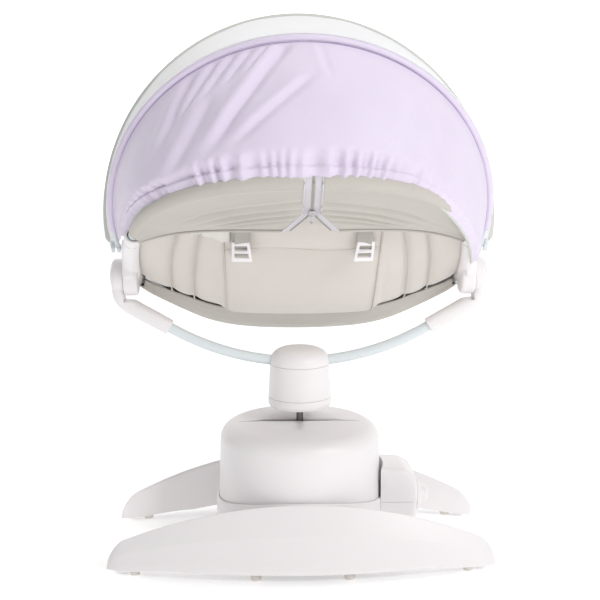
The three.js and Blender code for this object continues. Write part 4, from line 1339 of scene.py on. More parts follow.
# ------------------------------------------------------------------ seat frame
@dataclass
class SeatFrame(Assembly):
    """The brackets at the recline hubs, the ring tubes and the rear hoop."""

    body: str = "seat"
    bracket_x: float = 0.2445
    bracket_half: float = 0.0102
    socket: float = 0.012
    wire: float = 0.0035

    def bracket(self) -> bpy.types.Object:
        """The +X bracket: hub, hoop lug and two tube sockets moulded in one."""
        inner, outer = self.bracket_x - self.bracket_half, self.bracket_x + self.bracket_half
        disc = [(0, inner, 0), (0.029, inner, 0.004), (0.029, outer, 0.002), (0, outer, 0)]
        body = Workbench.turned("right_bracket_shell", rounded(disc, 5), "x", (0, 0, DATUM.hub_z), 72)
        lug = Workbench.cylinder(0.012, inner + 0.004, outer, "x", (0, DATUM.bow_y, DATUM.bow_z), 48)
        web = Workbench.block(
            (outer - inner - 0.004, 0.022, 0.040),
            ((inner + 0.004 + outer) / 2, DATUM.bow_y - 0.002, DATUM.bow_z - 0.022), 0.003)
        back = Workbench.tube("tool", [RING.side(-0.004 - 0.096 * t) for t in spread(16)], self.socket, 40)
        front = Workbench.tube("tool", [RING.side(0.004 + 0.044 * t) for t in spread(10)], self.socket - 0.001, 40)
        Workbench.boolean(body, [lug, web, back, front], "UNION")
        Workbench.melt(body, 0.0011, 6)
        side = Workbench.block((0.04, 0.12, 0.12), (outer + 0.02, 0, DATUM.hub_z - 0.002))
        bore = Workbench.tube("tool", [RING.side(-0.074 - 0.04 * t) for t in spread(8)], RING.tube + 0.0016, 32)
        groove = Workbench.tube("tool", [RING.side(-0.0845 - 0.0016 * t) for t in spread(2)], 0.016, 40)
        keep = Workbench.tube("tool", [RING.side(-0.082 - 0.008 * t) for t in spread(4)], 0.0104, 40)
        bridge = RING.side(-0.0853)
        tie = Workbench.block((0.0035, 0.03, 0.04), (bridge.x, bridge.y, bridge.z))
        Workbench.boolean(groove, [keep, tie], "DIFFERENCE")
        Workbench.boolean(body, [side, bore, groove], "DIFFERENCE")
        pin = Workbench.cylinder(0.006, outer - 0.001, outer + 0.003, "x", (0, 0, DATUM.hub_z), 32)
        return Workbench.join("right_bracket_shell", [body, pin])

    def hoop(self, name: str, lean: float, grow: float) -> bpy.types.Object:
        """A canopy wire with flattened eyes at its pivots."""
        path = [BOW.at(t, lean, grow) for t in spread(110)]
        wire = Workbench.tube(name, path, self.wire, 16, up=(0, 1, 0.001))
        eyes = [
            Workbench.cylinder(0.0062, x - 0.0022, x + 0.0022, "x", (0, DATUM.bow_y, DATUM.bow_z), 32)
            for x in (path[0].x, path[-1].x)
        ]
        return Workbench.join(name, [wire, *eyes])

    def build(self) -> None:
        """Makes and keeps the seat frame's pieces."""
        right = self.bracket()
        left = Workbench.copy(right, "left_bracket_shell", flip=True)
        self.keep(right, "white_shell", ["right_bracket"])
        self.keep(left, "white_shell", ["left_bracket"])
        halves = (
            ("back_tube", RING.at_back, RING.back_angle(0.016), "back_ring_tube"),
            ("front_tube", RING.at_front, RING.front_angle(0.016), "front_ring_tube"),
        )
        for name, at, start, node in halves:
            path = [at(mix(start, math.pi - start, t)) for t in spread(120)]
            self.keep(Workbench.tube(name, path, RING.tube, 24), "coated_tube", [node])
        self.keep(self.hoop("rear_hoop", BOW.rear_lean, 0.0), "coated_tube", ["rear_bow"])
        front = self.hoop("front_hoop", BOW.front_lean, BOW.front_grow)
        self.keep(front, "coated_tube", ["front_bow"], body="front_bow")


# ------------------------------------------------------------------ soft goods
@dataclass
class SoftAssembly(Assembly):
    """Adds rolled trims and sheets of cloth to an assembly."""

    body: str = "seat"

    def roll(
        self, name: str, path: Sequence[Vector], radius: float, finish: str,
        sides: int = 10, slot: str = "cover_knit", body: str = "",
    ) -> bpy.types.Object:
        """A sewn roll such as piping or binding along a path, kept on the frame.

        Args:
            name: the piece's name.
            path: its centre line.
            radius: half its width.
            finish: its finish.
            sides: points round it.
            slot: the record's slot.
            body: the body, when it isn't the assembly's.
        Returns:
            The roll.
        """
        count = len(path) - 1

        def at(u: float, v: float) -> Vector:
            """A place on the roll's surface."""
            i = round(u * count)
            ahead = (path[min(i + 1, count)] - path[max(i - 1, 0)]).normalized()
            across = ahead.cross(Vector((0.02, 0.03, 1.0))).normalized()
            rise = across.cross(ahead)
            pinch = 0.35 if i in (0, count) else 1.0
            turn = 2 * math.pi * v
            return path[i] + (across * math.cos(turn) + rise * math.sin(turn)) * radius * pinch

        piece = Workbench.tidy(Loom.grid(name, at, count, sides))
        Workbench.pick(piece)
        bpy.ops.object.mode_set(mode="EDIT")
        bpy.ops.mesh.select_all(action="DESELECT")
        bpy.ops.mesh.select_non_manifold()
        bpy.ops.mesh.edge_face_add()
        bpy.ops.mesh.select_all(action="SELECT")
        bpy.ops.mesh.normals_make_consistent(inside=False)
        bpy.ops.object.mode_set(mode="OBJECT")
        return self.keep(piece, finish, slot=slot, body=body, smooth=60.0)

    def sew(
        self, name: str, at: SurfaceAt, steps: tuple[int, int], thickness: float, finish: str,
        flat: tuple[float, float], area: float, held: str, rests_on: Sequence[str],
        replaces: Sequence[str] = (), slot: str = "",
    ) -> bpy.types.Object:
        """A sheet of cloth that rides on the assembly's body.

        Args:
            name: the piece's name.
            at: its surface.
            steps: steps across and down.
            thickness: the cloth's thickness.
            finish: its finish.
            flat: the cut's width and length; not used.
            area: the cut's flat area; not used.
            held: how it is held; not used.
            rests_on: what it hangs on; not used.
            replaces: CAD nodes that it stands for.
            slot: the record's slot, when it isn't the finish's name.
        Returns:
            The sheet.
        """
        piece = Loom.thicken(Loom.grid(name, at, *steps), thickness)
        self.keep(piece, finish, replaces, slot=slot, smooth=None)
        return piece


@dataclass
class Canopy(SoftAssembly):
    """Lavender rear panel, white roof, casings, bindings and the gathered elastic hem."""

    first: float = 0.014
    hem_side: float = 0.066
    hem_out: float = 0.013
    swell: float = 0.014
    casing: float = 0.0046
    gathers: tuple[tuple[float, float], ...] = ((29.0, 0.6), (47.0, 0.4))
    creases: tuple[Crease, ...] = (
        Crease((-0.022, 0.004), (-0.118, 0.150), 0.0075, 0.0075),
        Crease((0.006, 0.064), (-0.086, 0.150), 0.0060, 0.0045),
        Crease((-0.045, 0.002), (-0.075, 0.045), 0.0032, 0.0030),
        Crease((-0.066, 0.002), (-0.100, 0.050), 0.0034, 0.0032),
        Crease((-0.088, 0.002), (-0.128, 0.060), 0.0040, 0.0032),
        Crease((-0.112, 0.004), (-0.160, 0.080), 0.0050, 0.0034),
        Crease((-0.142, 0.006), (-0.185, 0.110), 0.0070, 0.0036),
        Crease((-0.120, 0.070), (-0.170, 0.170), 0.0090, 0.0040),
        Crease((0.020, 0.004), (0.032, 0.060), 0.0050, 0.0016),
        Crease((0.140, 0.060), (0.132, 0.150), 0.0100, 0.0022),
        Crease((0.180, 0.050), (0.178, 0.150), 0.0090, 0.0020),
    )

    def share(self, u: float) -> float:
        """The hoop's own share for a place across the cloth."""
        return self.first + (1 - 2 * self.first) * u

    def hem(self, u: float) -> Vector:
        """The gathered edge round the head of the ring, higher on the -X side."""
        start = RING.back_angle(self.hem_side)
        point = RING.at_back(mix(start, math.pi - start, u), self.hem_out, 0.004)
        point.z += 0.012 * ease(0.17, 0.25, -point.x) - 0.026 * ease(0.12, 0.25, point.x)
        return point

    def gather(self, u: float, drift: float = 0.0) -> float:
        """The waves that the elastic draws into the hem, from 0 to 1."""
        total = 0.0
        for count, weight in self.gathers:
            phase = math.pi * (count * u + 0.9 * math.sin(9 * u + count) + drift * math.sin(count * u))
            total += weight * (1 - abs(math.sin(phase)) ** 1.4)
        return 1 - total

    def rear_base(self, u: float, v: float) -> Vector:
        """The rear panel before its folds."""
        top = BOW.at(self.share(u), BOW.rear_lean - 0.9, -0.0035)
        hem = self.hem(u)
        swell = self.swell * math.sin(math.pi * v) ** 0.8 * math.sin(math.pi * u) ** 0.5
        tuck = 0.010 * ease(0.94, 1.0, v)
        point = top.lerp(hem, v) + Vector((0, -swell, 0.5 * swell))
        inward = -math.copysign(tuck, point.x) * min(1, abs(point.x) / 0.2)
        return point + Vector((inward, 0.5 * tuck, -0.4 * tuck))

    def rear_lift(self, u: float, v: float) -> float:
        """Folds, pleats and gathers of the rear panel."""
        x = self.rear_base(u, v).x
        down = 0.2 * v
        folds = sum(crease.lift(x, down) for crease in self.creases) * ease(0.0, 0.05, v)
        band = ease(0.80, 0.91, v) * (1 - 0.5 * ease(0.96, 1.0, v))
        quiet = 0.1 + 0.9 * ease(0.22, 0.38, u) * ease(0.05, 0.22, 1 - u)
        puffs = (self.gather(u, 0.6 * v) - 0.35) * 0.0088 * band * quiet
        roll = 0.0065 * bell(v - 0.92, 0.05) * quiet
        slack = 0.0012 * math.sin(31 * u + 5 * v) * math.sin(7 * v + 11 * u) * math.sin(math.pi * v)
        return (folds + puffs + roll + slack) * -1

    def roof_at(self, u: float, v: float) -> Vector:
        """The roof drawn straight between the two hoops."""
        back = BOW.at(self.share(u), BOW.rear_lean - 0.1, 0.0030)
        front = BOW.at(self.share(u), BOW.front_lean, BOW.front_grow + 0.0042)
        sag = 0.0018 * math.sin(math.pi * v) * math.sin(math.pi * u)
        seams = 0.0009 * (bell(v - 0.36, 0.008) + bell(v - 0.70, 0.008))
        ripple = 0.0005 * math.sin(63 * u) * math.sin(9 * v + 20 * u)
        return back.lerp(front, v) - Vector((0, 0, sag + seams + ripple))

    def roof(self) -> bpy.types.Object:
        """The white roof, which fans together as the front hoop folds back."""
        piece = Loom.thicken(Loom.grid("canopy_roof", self.roof_at, 200, 56), 0.0009)
        piece.data.transform(Matrix.Translation((0, DATUM.shift, 0)))
        self.finishes.dress(piece, "roof_cloth")
        pivot = Vector((0, DATUM.bow_y + DATUM.shift, DATUM.bow_z))
        rear, front = math.radians(BOW.rear_lean), math.radians(BOW.front_lean)
        ahead = Vector((0, math.cos(rear), -math.sin(rear))) * 0.2
        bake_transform(piece, "seat", "front_bow", start=pivot, end=pivot + ahead)
        weights = piece.data.attributes["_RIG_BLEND"].data
        for vert, weight in zip(piece.data.vertices, weights):
            lean = math.atan2(vert.co.y - pivot.y, vert.co.z - pivot.z)
            weight.value = min(1.0, max(0.0, (lean - rear) / (front - rear)))
        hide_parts("roof_panel")
        log.info("%s: %d faces", piece.name, len(piece.data.polygons))
        return piece

    def build(self) -> None:
        """Makes and keeps the canopy's pieces."""
        self.sew(
            "canopy_rear", Loom.puffed(self.rear_base, self.rear_lift), (380, 88), 0.0009, "lavender_satin",
            (0.93, 0.30), 0.14, "gathered", ["rear_hoop", "back_tube"], ["rear_panel"])
        self.roof()
        hoop = [BOW.at(mix(0.030, 0.970, t), BOW.rear_lean, 0.0) for t in spread(150)]
        self.roll("rear_casing", hoop, self.casing, "lavender_satin", 14, "lavender_satin")
        seam = [BOW.at(self.share(t), BOW.rear_lean - 1.05, -0.0030) for t in spread(150)]
        self.roll("rear_seam", seam, 0.00075, "seam_thread", 8, "lavender_satin")
        piping = [BOW.at(mix(0.06, 0.94, t), BOW.rear_lean + 0.45, 0.0050) for t in spread(150)]
        self.roll("roof_piping", piping, 0.0012, "roof_cloth", 8, "roof_cloth")
        rim = [BOW.at(mix(0.010, 0.990, t), BOW.front_lean + 0.2, BOW.front_grow + 0.0030) for t in spread(150)]
        self.roll("front_binding", rim, 0.0052, "edge_binding", 14, "roof_cloth", "front_bow")
        edge = Loom.puffed(self.rear_base, self.rear_lift)
        elastic = [edge(t, 1.0) + Vector((0, 0.0012, -0.0008)) for t in spread(420)]
        self.roll("hem_elastic", elastic, 0.0019, "edge_binding", 8, "lavender_satin")


@dataclass
class Covers(SoftAssembly):
    """The two knit covers under the ring, the zip and the hem bindings."""

    drop: float = 0.011
    back_side: float = 0.112
    front_side: float = 0.054
    hem_y: float = -0.180
    hem_z: float = 0.499
    hem_half: float = 0.222
    hem_sweep: float = 0.076
    front_hem_z: float = 0.331
    hem_lift: float = 0.026
    zip_x: float = 0.008
    zip_tip: float = 0.46
    tape: float = 0.0099
    wrap: float = 0.30
    rise: float = 0.1
    folds: tuple[Crease, ...] = (
        Crease((0.014, 0.042), (0.128, 0.017), 0.0034, 0.0030),
        Crease((0.024, 0.026), (0.118, 0.010), 0.0030, 0.0026),
        Crease((0.013, 0.056), (0.150, 0.030), 0.0040, 0.0026),
        Crease((0.012, 0.074), (0.175, 0.048), 0.0046, 0.0022),
    )

    def gap(self, v: float) -> float:
        """Half the way between the cover's two edges at the zip."""
        below = max(0.0, (self.zip_tip - v) / self.zip_tip)
        return 0.0107 + 0.026 * below ** 1.1

    def wrapped(self, at: Callable[..., Vector], angle: float, v: float) -> Vector:
        """The cloth's way round the ring's tube past v = 1."""
        centre = at(angle)
        outward = Vector((at(angle, 0.01).x - centre.x, at(angle, 0.01).y - centre.y, 0)).normalized()
        turn = math.radians(215) * (v - 1) / self.wrap
        radius = mix(self.drop, 0.0088, ease(0, 1.2, turn))
        return centre + outward * radius * math.sin(turn) - Vector((0, 0, radius * math.cos(turn)))

    def back_base(self, side: int, u: float, v: float) -> Vector:
        """Half of the back cover: u runs from its outer corner to the zip, v from the hem to the ring."""
        share = 0.5 * u if side > 0 else 1 - 0.5 * u
        edge = RING.back_angle(self.back_side)
        angle = mix(edge, math.pi - edge, share)
        across = 2 * share - 1
        shift = Vector(((self.zip_x + side * self.gap(min(v, 1))) * u ** 4, 0, 0))
        if v > 1:
            return self.wrapped(RING.at_back, angle, v) + shift
        hem = Vector((-self.hem_half * across, self.hem_y + self.hem_sweep * across ** 2, self.hem_z))
        hem.z += (RING.height(self.hem_y + self.hem_sweep) - 0.012 - self.hem_z) * across ** 4
        return hem.lerp(RING.at_back(angle, 0, -self.drop), v) + shift

    def back_lift(self, side: int, u: float, v: float) -> float:
        """Tension folds that fan out from the zip's splay."""
        point = self.back_base(side, u, v)
        folds = sum(crease.lift(abs(point.x - self.zip_x), self.rise * v) for crease in self.folds)
        pull = 0.0018 * bell(v, 0.05)
        soft = 0.0011 * math.sin(9 * u + 4 * v) * math.sin(math.pi * min(v, 1))
        return (folds + pull + soft) * side

    def front_base(self, u: float, v: float) -> Vector:
        """The front cover from its hanging hem to the ring and round the tube."""
        edge = RING.front_angle(self.front_side)
        angle = mix(edge, math.pi - edge, u)
        if v > 1:
            return self.wrapped(RING.at_front, angle, v)
        across = 2 * u - 1
        inward = 1 - abs(across) ** 2.6
        hem = Vector((-0.227 * across, 0.060 - 0.028 * across ** 2, self.front_hem_z))
        hem.z += (RING.height(0.032) - 0.015 - self.front_hem_z) * abs(across) ** 3.4
        hem += Vector((0, -0.045, self.hem_lift)) * (0.3 + 0.7 * inward)
        hem.z += 0.009 * bell(abs(across) - 0.78, 0.22)
        share = max(0.0, v) / 0.24
        belly = 0.95 * self.hem_lift * share * math.exp(1 - share) * (0.3 + 0.7 * inward)
        return hem.lerp(RING.at_front(angle, 0, -self.drop), v) - Vector((0, 0, belly * ease(1.0, 0.7, v)))

    def front_lift(self, u: float, v: float) -> float:
        """Fine tension lines that run in from the two hubs."""
        side = abs(2 * u - 1)
        rows = math.sin(95 * v + 6 * side * math.sin(5 * v)) + 0.5 * math.sin(151 * v + 9 * side)
        strength = 0.0007 * ease(0.25, 0.85, side) + 0.00015
        belly = 0.006 * math.sin(math.pi * min(v, 1)) * math.sin(math.pi * u)
        return -(rows * strength * math.sin(math.pi * min(1.0, 0.1 + 0.9 * v)) + belly)

    def tape_at(self, side: int, u: float, v: float) -> Vector:
        """The zip's tape along one edge of the cover."""
        reach = max(0.0008, self.gap(min(1.0, v * (1 + self.wrap))) - u * self.tape + 0.0018 * (1 - u))
        base = self.back_base(side, 1.0, v * (1 + self.wrap))
        base.x = self.zip_x + side * reach
        return base + Vector((0, 0.0009, 0.0007))

    def slider(self) -> bpy.types.Object:
        """The zip slider with its bridge and hanging pull."""
        tip = self.back_base(1, 1.0, self.zip_tip + 0.03)
        rim, hem = self.back_base(1, 1.0, 1.0), self.back_base(1, 1.0, 0.0)
        tilt = math.atan2(rim.z - hem.z, hem.y - rim.y)
        body = Workbench.block((0.0082, 0.0125, 0.0026), (0, 0, 0.0008), 0.0009)
        waist = [Workbench.cylinder(0.0035, -0.01, 0.01, "z", (x, -0.0078, 0), 24) for x in (-0.0058, 0.0058)]
        Workbench.boolean(body, waist, "DIFFERENCE")
        bridge = Workbench.block((0.0022, 0.0080, 0.0016), (0, 0.0002, -0.0014), 0.0006)
        loop = Workbench.block((0.0052, 0.0026, 0.0011), (0, 0.0046, -0.0018), 0.0004)
        pull = Workbench.block((0.0044, 0.0150, 0.0011), (0, 0.0125, -0.0019), 0.0005)
        hole = Workbench.cylinder(0.0011, -0.01, 0.01, "z", (0, 0.0172, 0), 20)
        Workbench.boolean(pull, [hole], "DIFFERENCE")
        slider = Workbench.join("zip_slider_cast", [body, bridge, loop, pull])
        slider.data.transform(Matrix.Rotation(-tilt, 4, "X"))
        offset = Vector((0, -math.sin(tilt), -math.cos(tilt))) * 0.0036
        slider.data.transform(Matrix.Translation(Vector((self.zip_x, tip.y, tip.z)) + offset))
        return slider

    def build(self) -> None:
        """Makes and keeps the covers and the zip."""
        top = 1 + self.wrap
        replaced = ["back_cover"]
        for side, name in ((1, "right"), (-1, "left")):
            def base(u: float, v: float, side: int = side) -> Vector:
                """This half, with v stretched over the wrap."""
                return self.back_base(side, u, v * top)

            def lift(u: float, v: float, side: int = side) -> float:
                """This half's folds."""
                return self.back_lift(side, u, v * top)

            self.sew(
                f"back_cover_{name}", Loom.puffed(base, lift), (110, 90), 0.0012, "cover_knit",
                (0.25, 0.19), 0.034, "stretched", ["back_tube"], replaced)
            replaced = []
            self.sew(
                f"zip_tape_{name}", lambda u, v, side=side: self.tape_at(side, u, v), (6, 70), 0.0008,
                "zip_tape", (0.012, 0.155), 0.0018, "stretched", [f"back_cover_{name}"], slot="cover_knit")
            hem = [self.back_base(side, u, 0.0) + Vector((0, 0.0004, -0.0004)) for u in spread(70)]
            self.roll(f"back_hem_{name}", hem, 0.0019, "cover_knit", 10)
            edge = [self.tape_at(side, 1.0, v) + Vector((0, -0.0006, -0.0008)) for v in spread(90)]
            self.roll(f"zip_coil_{name}", edge, 0.0009, "webbing", 8, "webbing")
            fold = [self.tape_at(side, 0.12, v) + Vector((side * 0.0004, -0.0012, -0.0012)) for v in spread(70)]
            self.roll(f"zip_welt_{name}", fold, 0.0011, "zip_tape", 8)
        self.sew(
            "front_cover_knit", Loom.puffed(
                lambda u, v: self.front_base(u, v * top), lambda u, v: self.front_lift(u, v * top)),
            (200, 110), 0.0012, "cover_knit", (0.62, 0.36), 0.155, "stretched", ["front_tube"], ["front_cover"])
        hem = [self.front_base(u, 0.0) + Vector((0, -0.0004, -0.0002)) for u in spread(140)]
        self.roll("front_hem", hem, 0.0019, "cover_knit", 10)
        self.keep(self.slider(), "zip_metal", ["zip_slider"], body="zip_slider")


@dataclass
class SeatPad(SoftAssembly):
    """The boxed, padded sling, with its piped seams, blank label and rear strap adjusters."""

    inset: float = 0.0090
    depth: float = 0.0585
    reach_back: float = 0.23
    reach_front: float = 0.30
    box_half: float = 0.107
    thickness: float = 0.0095
    cap: float = 0.0045
    seam_pinch: float = 0.72
    pinned: float = 0.55
    steps: tuple[int, int] = (104, 116)
    piping_reach: tuple[float, float] = (-0.205, 0.225)
    lock_place: tuple[float, float, float] = (0.083, -0.1345, 0.4655)
    lock_tilt: float = -62.0
    label_x: tuple[float, float] = (-0.170, -0.098)
    label_y: tuple[float, float] = (-0.158, -0.134)
    wing_seams: tuple[float, float] = (0.66, 0.80)
    cross_seams: tuple[float, ...] = (-0.114, 0.062)

    def box_at(self, y: float) -> float:
        """Half the width of the boxed middle at y."""
        return min(self.box_half, 0.62 * RING.half(y, self.inset))

    def level(self, x: float, y: float) -> float:
        """Height of the sling's lower side."""
        reach = self.reach_back if y < 0 else self.reach_front
        along = math.cos(math.pi / 2 * min(1.0, abs(y) / reach)) ** 2
        width = max(0.001, RING.half(y, self.inset))
        box = self.box_at(y)
        side = abs(x)
        if side < box:
            shape = 1 - 0.05 * (side / box) ** 2
        else:
            rest = min(1.0, (side - box) / max(0.001, width - box))
            shape = 0.95 - 0.17 * ease(0, 0.09, rest) - 0.78 * rest ** 1.35
        return RING.height(y) - self.depth * along * shape

    def at(self, a: float, b: float, rise: float) -> Vector:
        """A place on the sling; a runs -1..1 across and b -1..1 from the head to the foot."""
        length = (RING.back if b < 0 else RING.front) - self.inset
        y = b * length
        x = a * RING.half(y, self.inset)
        return Vector((x, y, self.level(x, y) + rise))

    def seam(self, a: float, b: float) -> float:
        """How near a place is to a sewn channel, from 0 to 1."""
        point = self.at(a, b, 0)
        near = [abs(abs(point.x) - self.box_at(point.y))]
        near += [abs(abs(a) - wing) * RING.half_width for wing in self.wing_seams]
        inside = abs(point.x) < self.box_at(point.y)
        near += [abs(point.y - y) + (0 if inside else 1) for y in self.cross_seams]
        near.append((1 - abs(a)) * RING.half_width * 0.7)
        near.append((1 - abs(b)) * RING.back)
        return max(bell(distance, 0.0045) for distance in near)

    def pad(self) -> bpy.types.Object:
        """The two quilted layers, blown up between their seams."""
        across, along = self.steps
        rows = []
        for layer in (0, 1):
            for i in range(across + 1):
                for j in range(along + 1):
                    a, b = 2 * i / across - 1, 0.995 * (2 * j / along - 1)
                    edge = i in (0, across) or j in (0, along)
                    near = self.seam(a, b)
                    full = 0.0 if edge else self.thickness * (1 - self.seam_pinch * near)
                    rise = 0.5 * self.thickness + (layer - 0.5) * full
                    rows.append((self.at(a, b, rise), near, edge))
        stride, layer_size = along + 1, (across + 1) * (along + 1)
        faces = []
        for i in range(across):
            for j in range(along):
                corner = (i * stride + j, i * stride + j + 1, (i + 1) * stride + j + 1, (i + 1) * stride + j)
                faces.append(corner)
                faces.append(tuple(layer_size + k for k in corner[::-1]))
        mesh = bpy.data.meshes.new("seat_pad")
        mesh.from_pydata([row[0] for row in rows], [], faces)
        pad = bpy.data.objects.new("seat_pad", mesh)
        bpy.context.scene.collection.objects.link(pad)
        pins = pad.vertex_groups.new(name="seams")
        for i, (_, near, edge) in enumerate(rows):
            if edge or near > self.pinned:
                pins.add([i], 1.0, "REPLACE")
        Workbench.tidy(pad)
        self.inflate(pad)
        Workbench.modify(pad, "SUBSURF", levels=1, render_levels=1)
        return pad

    def inflate(self, pad: bpy.types.Object) -> None:
        """Blows the pad up between its pinned seams and caps how far it swells."""
        rest = [vert.co.copy() for vert in pad.data.vertices]
        scene = bpy.context.scene
        cloth = pad.modifiers.new("cloth", "CLOTH")
        cloth.settings.quality = 5
        cloth.settings.mass = 0.3
        cloth.settings.tension_stiffness = 12
        cloth.settings.compression_stiffness = 12
        cloth.settings.bending_stiffness = 0.5
        cloth.settings.use_pressure = True
        cloth.settings.uniform_pressure_force = 4.0
        cloth.settings.vertex_group_mass = "seams"
        cloth.settings.effector_weights.gravity = 0.0
        cloth.collision_settings.use_collision = False
        for step in range(1, 21):
            scene.frame_set(step)
        Workbench.pick(pad)
        bpy.ops.object.modifier_apply(modifier=cloth.name)
        scene.frame_set(1)
        for vert, start in zip(pad.data.vertices, rest):
            moved = vert.co - start
            if moved.length > self.cap:
                vert.co = start + moved.normalized() * self.cap

    def adjuster(self, side: int) -> bpy.types.Object:
        """A ladder lock: a tapered frame with a middle bar, soft at its edges."""
        frame_block = Workbench.block((0.0255, 0.033, 0.0036), (0, 0, 0), 0.0013)
        for vert in frame_block.data.vertices:
            vert.co.x *= 1 + 4.0 * (vert.co.y + 0.005)
        slots = [
            Workbench.block((0.0175 + 0.002 * i, 0.0078, 0.02), (0, y, 0), 0.001)
            for i, y in enumerate((-0.0066, 0.0058))
        ]
        Workbench.boolean(frame_block, slots, "DIFFERENCE")
        bar = Workbench.block((0.020, 0.0022, 0.0016), (0, -0.0004, -0.0022), 0.0005)
        lock = Workbench.join(f"{'left' if side < 0 else 'right'}_ladder_lock", [frame_block, bar])
        tilt = Matrix.Rotation(math.radians(self.lock_tilt), 4, "X")
        turn = Matrix.Rotation(side * 0.15 + 0.05, 4, "Z") @ tilt
        x, y, z = self.lock_place
        lock.data.transform(Matrix.Translation((side * x, y, z)) @ turn)
        return lock

    def build(self) -> None:
        """Makes and keeps the sling and what is sewn to it."""
        pad = self.keep(self.pad(), "pad_knit", ["seat_liner"], slot="liner_knit", smooth=None)
        Workbench.pick(pad)
        bpy.ops.object.shade_smooth()
        for side, name in ((1, "right"), (-1, "left")):
            path = []
            for wing in self.wing_seams:
                welt = [self.at(side * wing, mix(-0.80, 0.78, t), -0.0022) for t in spread(90)]
                self.roll(f"wing_welt_{name}_{round(100 * wing)}", welt, 0.0011, "liner_piping", 8, "liner_knit")
            for t in spread(120):
                y = mix(*self.piping_reach, t)
                path.append(Vector((side * self.box_at(y), y, self.level(self.box_at(y), y) + 0.0022)))
            self.roll(f"box_piping_{name}", path, 0.0014, "liner_piping", 8, "liner_knit")
            lock = self.adjuster(side)
            self.keep(lock, "white_shell", [f"{name}_strap_adjuster"])

            def route(t: float, side: int = side) -> Vector:
                """Webbing from under the cover down through the lock."""
                y = mix(-0.178, -0.108, t)
                out = 0.0035 + 0.010 * math.sin(math.pi * t) ** 0.8
                return Vector((side * (0.080 + 0.004 * t), y, self.level(side * 0.082, y) - out))

            web = Loom.strap(f"rear_webbing_{name}", route, 0.0098, 0.0016, 44)
            self.keep(web, "webbing", smooth=50.0)
        self.cross_welts()
        self.sew(
            "care_label", self.label_at, (36, 12), 0.0005, "blank_label", (0.072, 0.034), 0.0024, "hung",
            ["seat_pad"], slot="liner_knit")

    def cross_welts(self) -> None:
        """Low welts over the two seams that run across the boxed middle."""
        for i, y in enumerate(self.cross_seams):
            path = []
            for t in spread(60):
                x = mix(-1, 1, t) * self.box_at(y)
                wave = y + 0.0022 * math.sin(40 * x)
                path.append(Vector((x, wave, self.level(x, wave) + 0.0030)))
            self.roll(f"cross_welt_{i + 1}", path, 0.0009, "liner_piping", 8, "liner_knit")

    def label_at(self, u: float, v: float) -> Vector:
        """The blank label that hangs out of the seam on the -X side."""
        x = mix(*self.label_x, u)
        y = mix(*self.label_y, v) + 0.0010 * math.sin(26 * u) * v
        return Vector((x, y, self.level(x, y) - 0.0045 - 0.0022 * math.sin(7 * u + 2) * v))


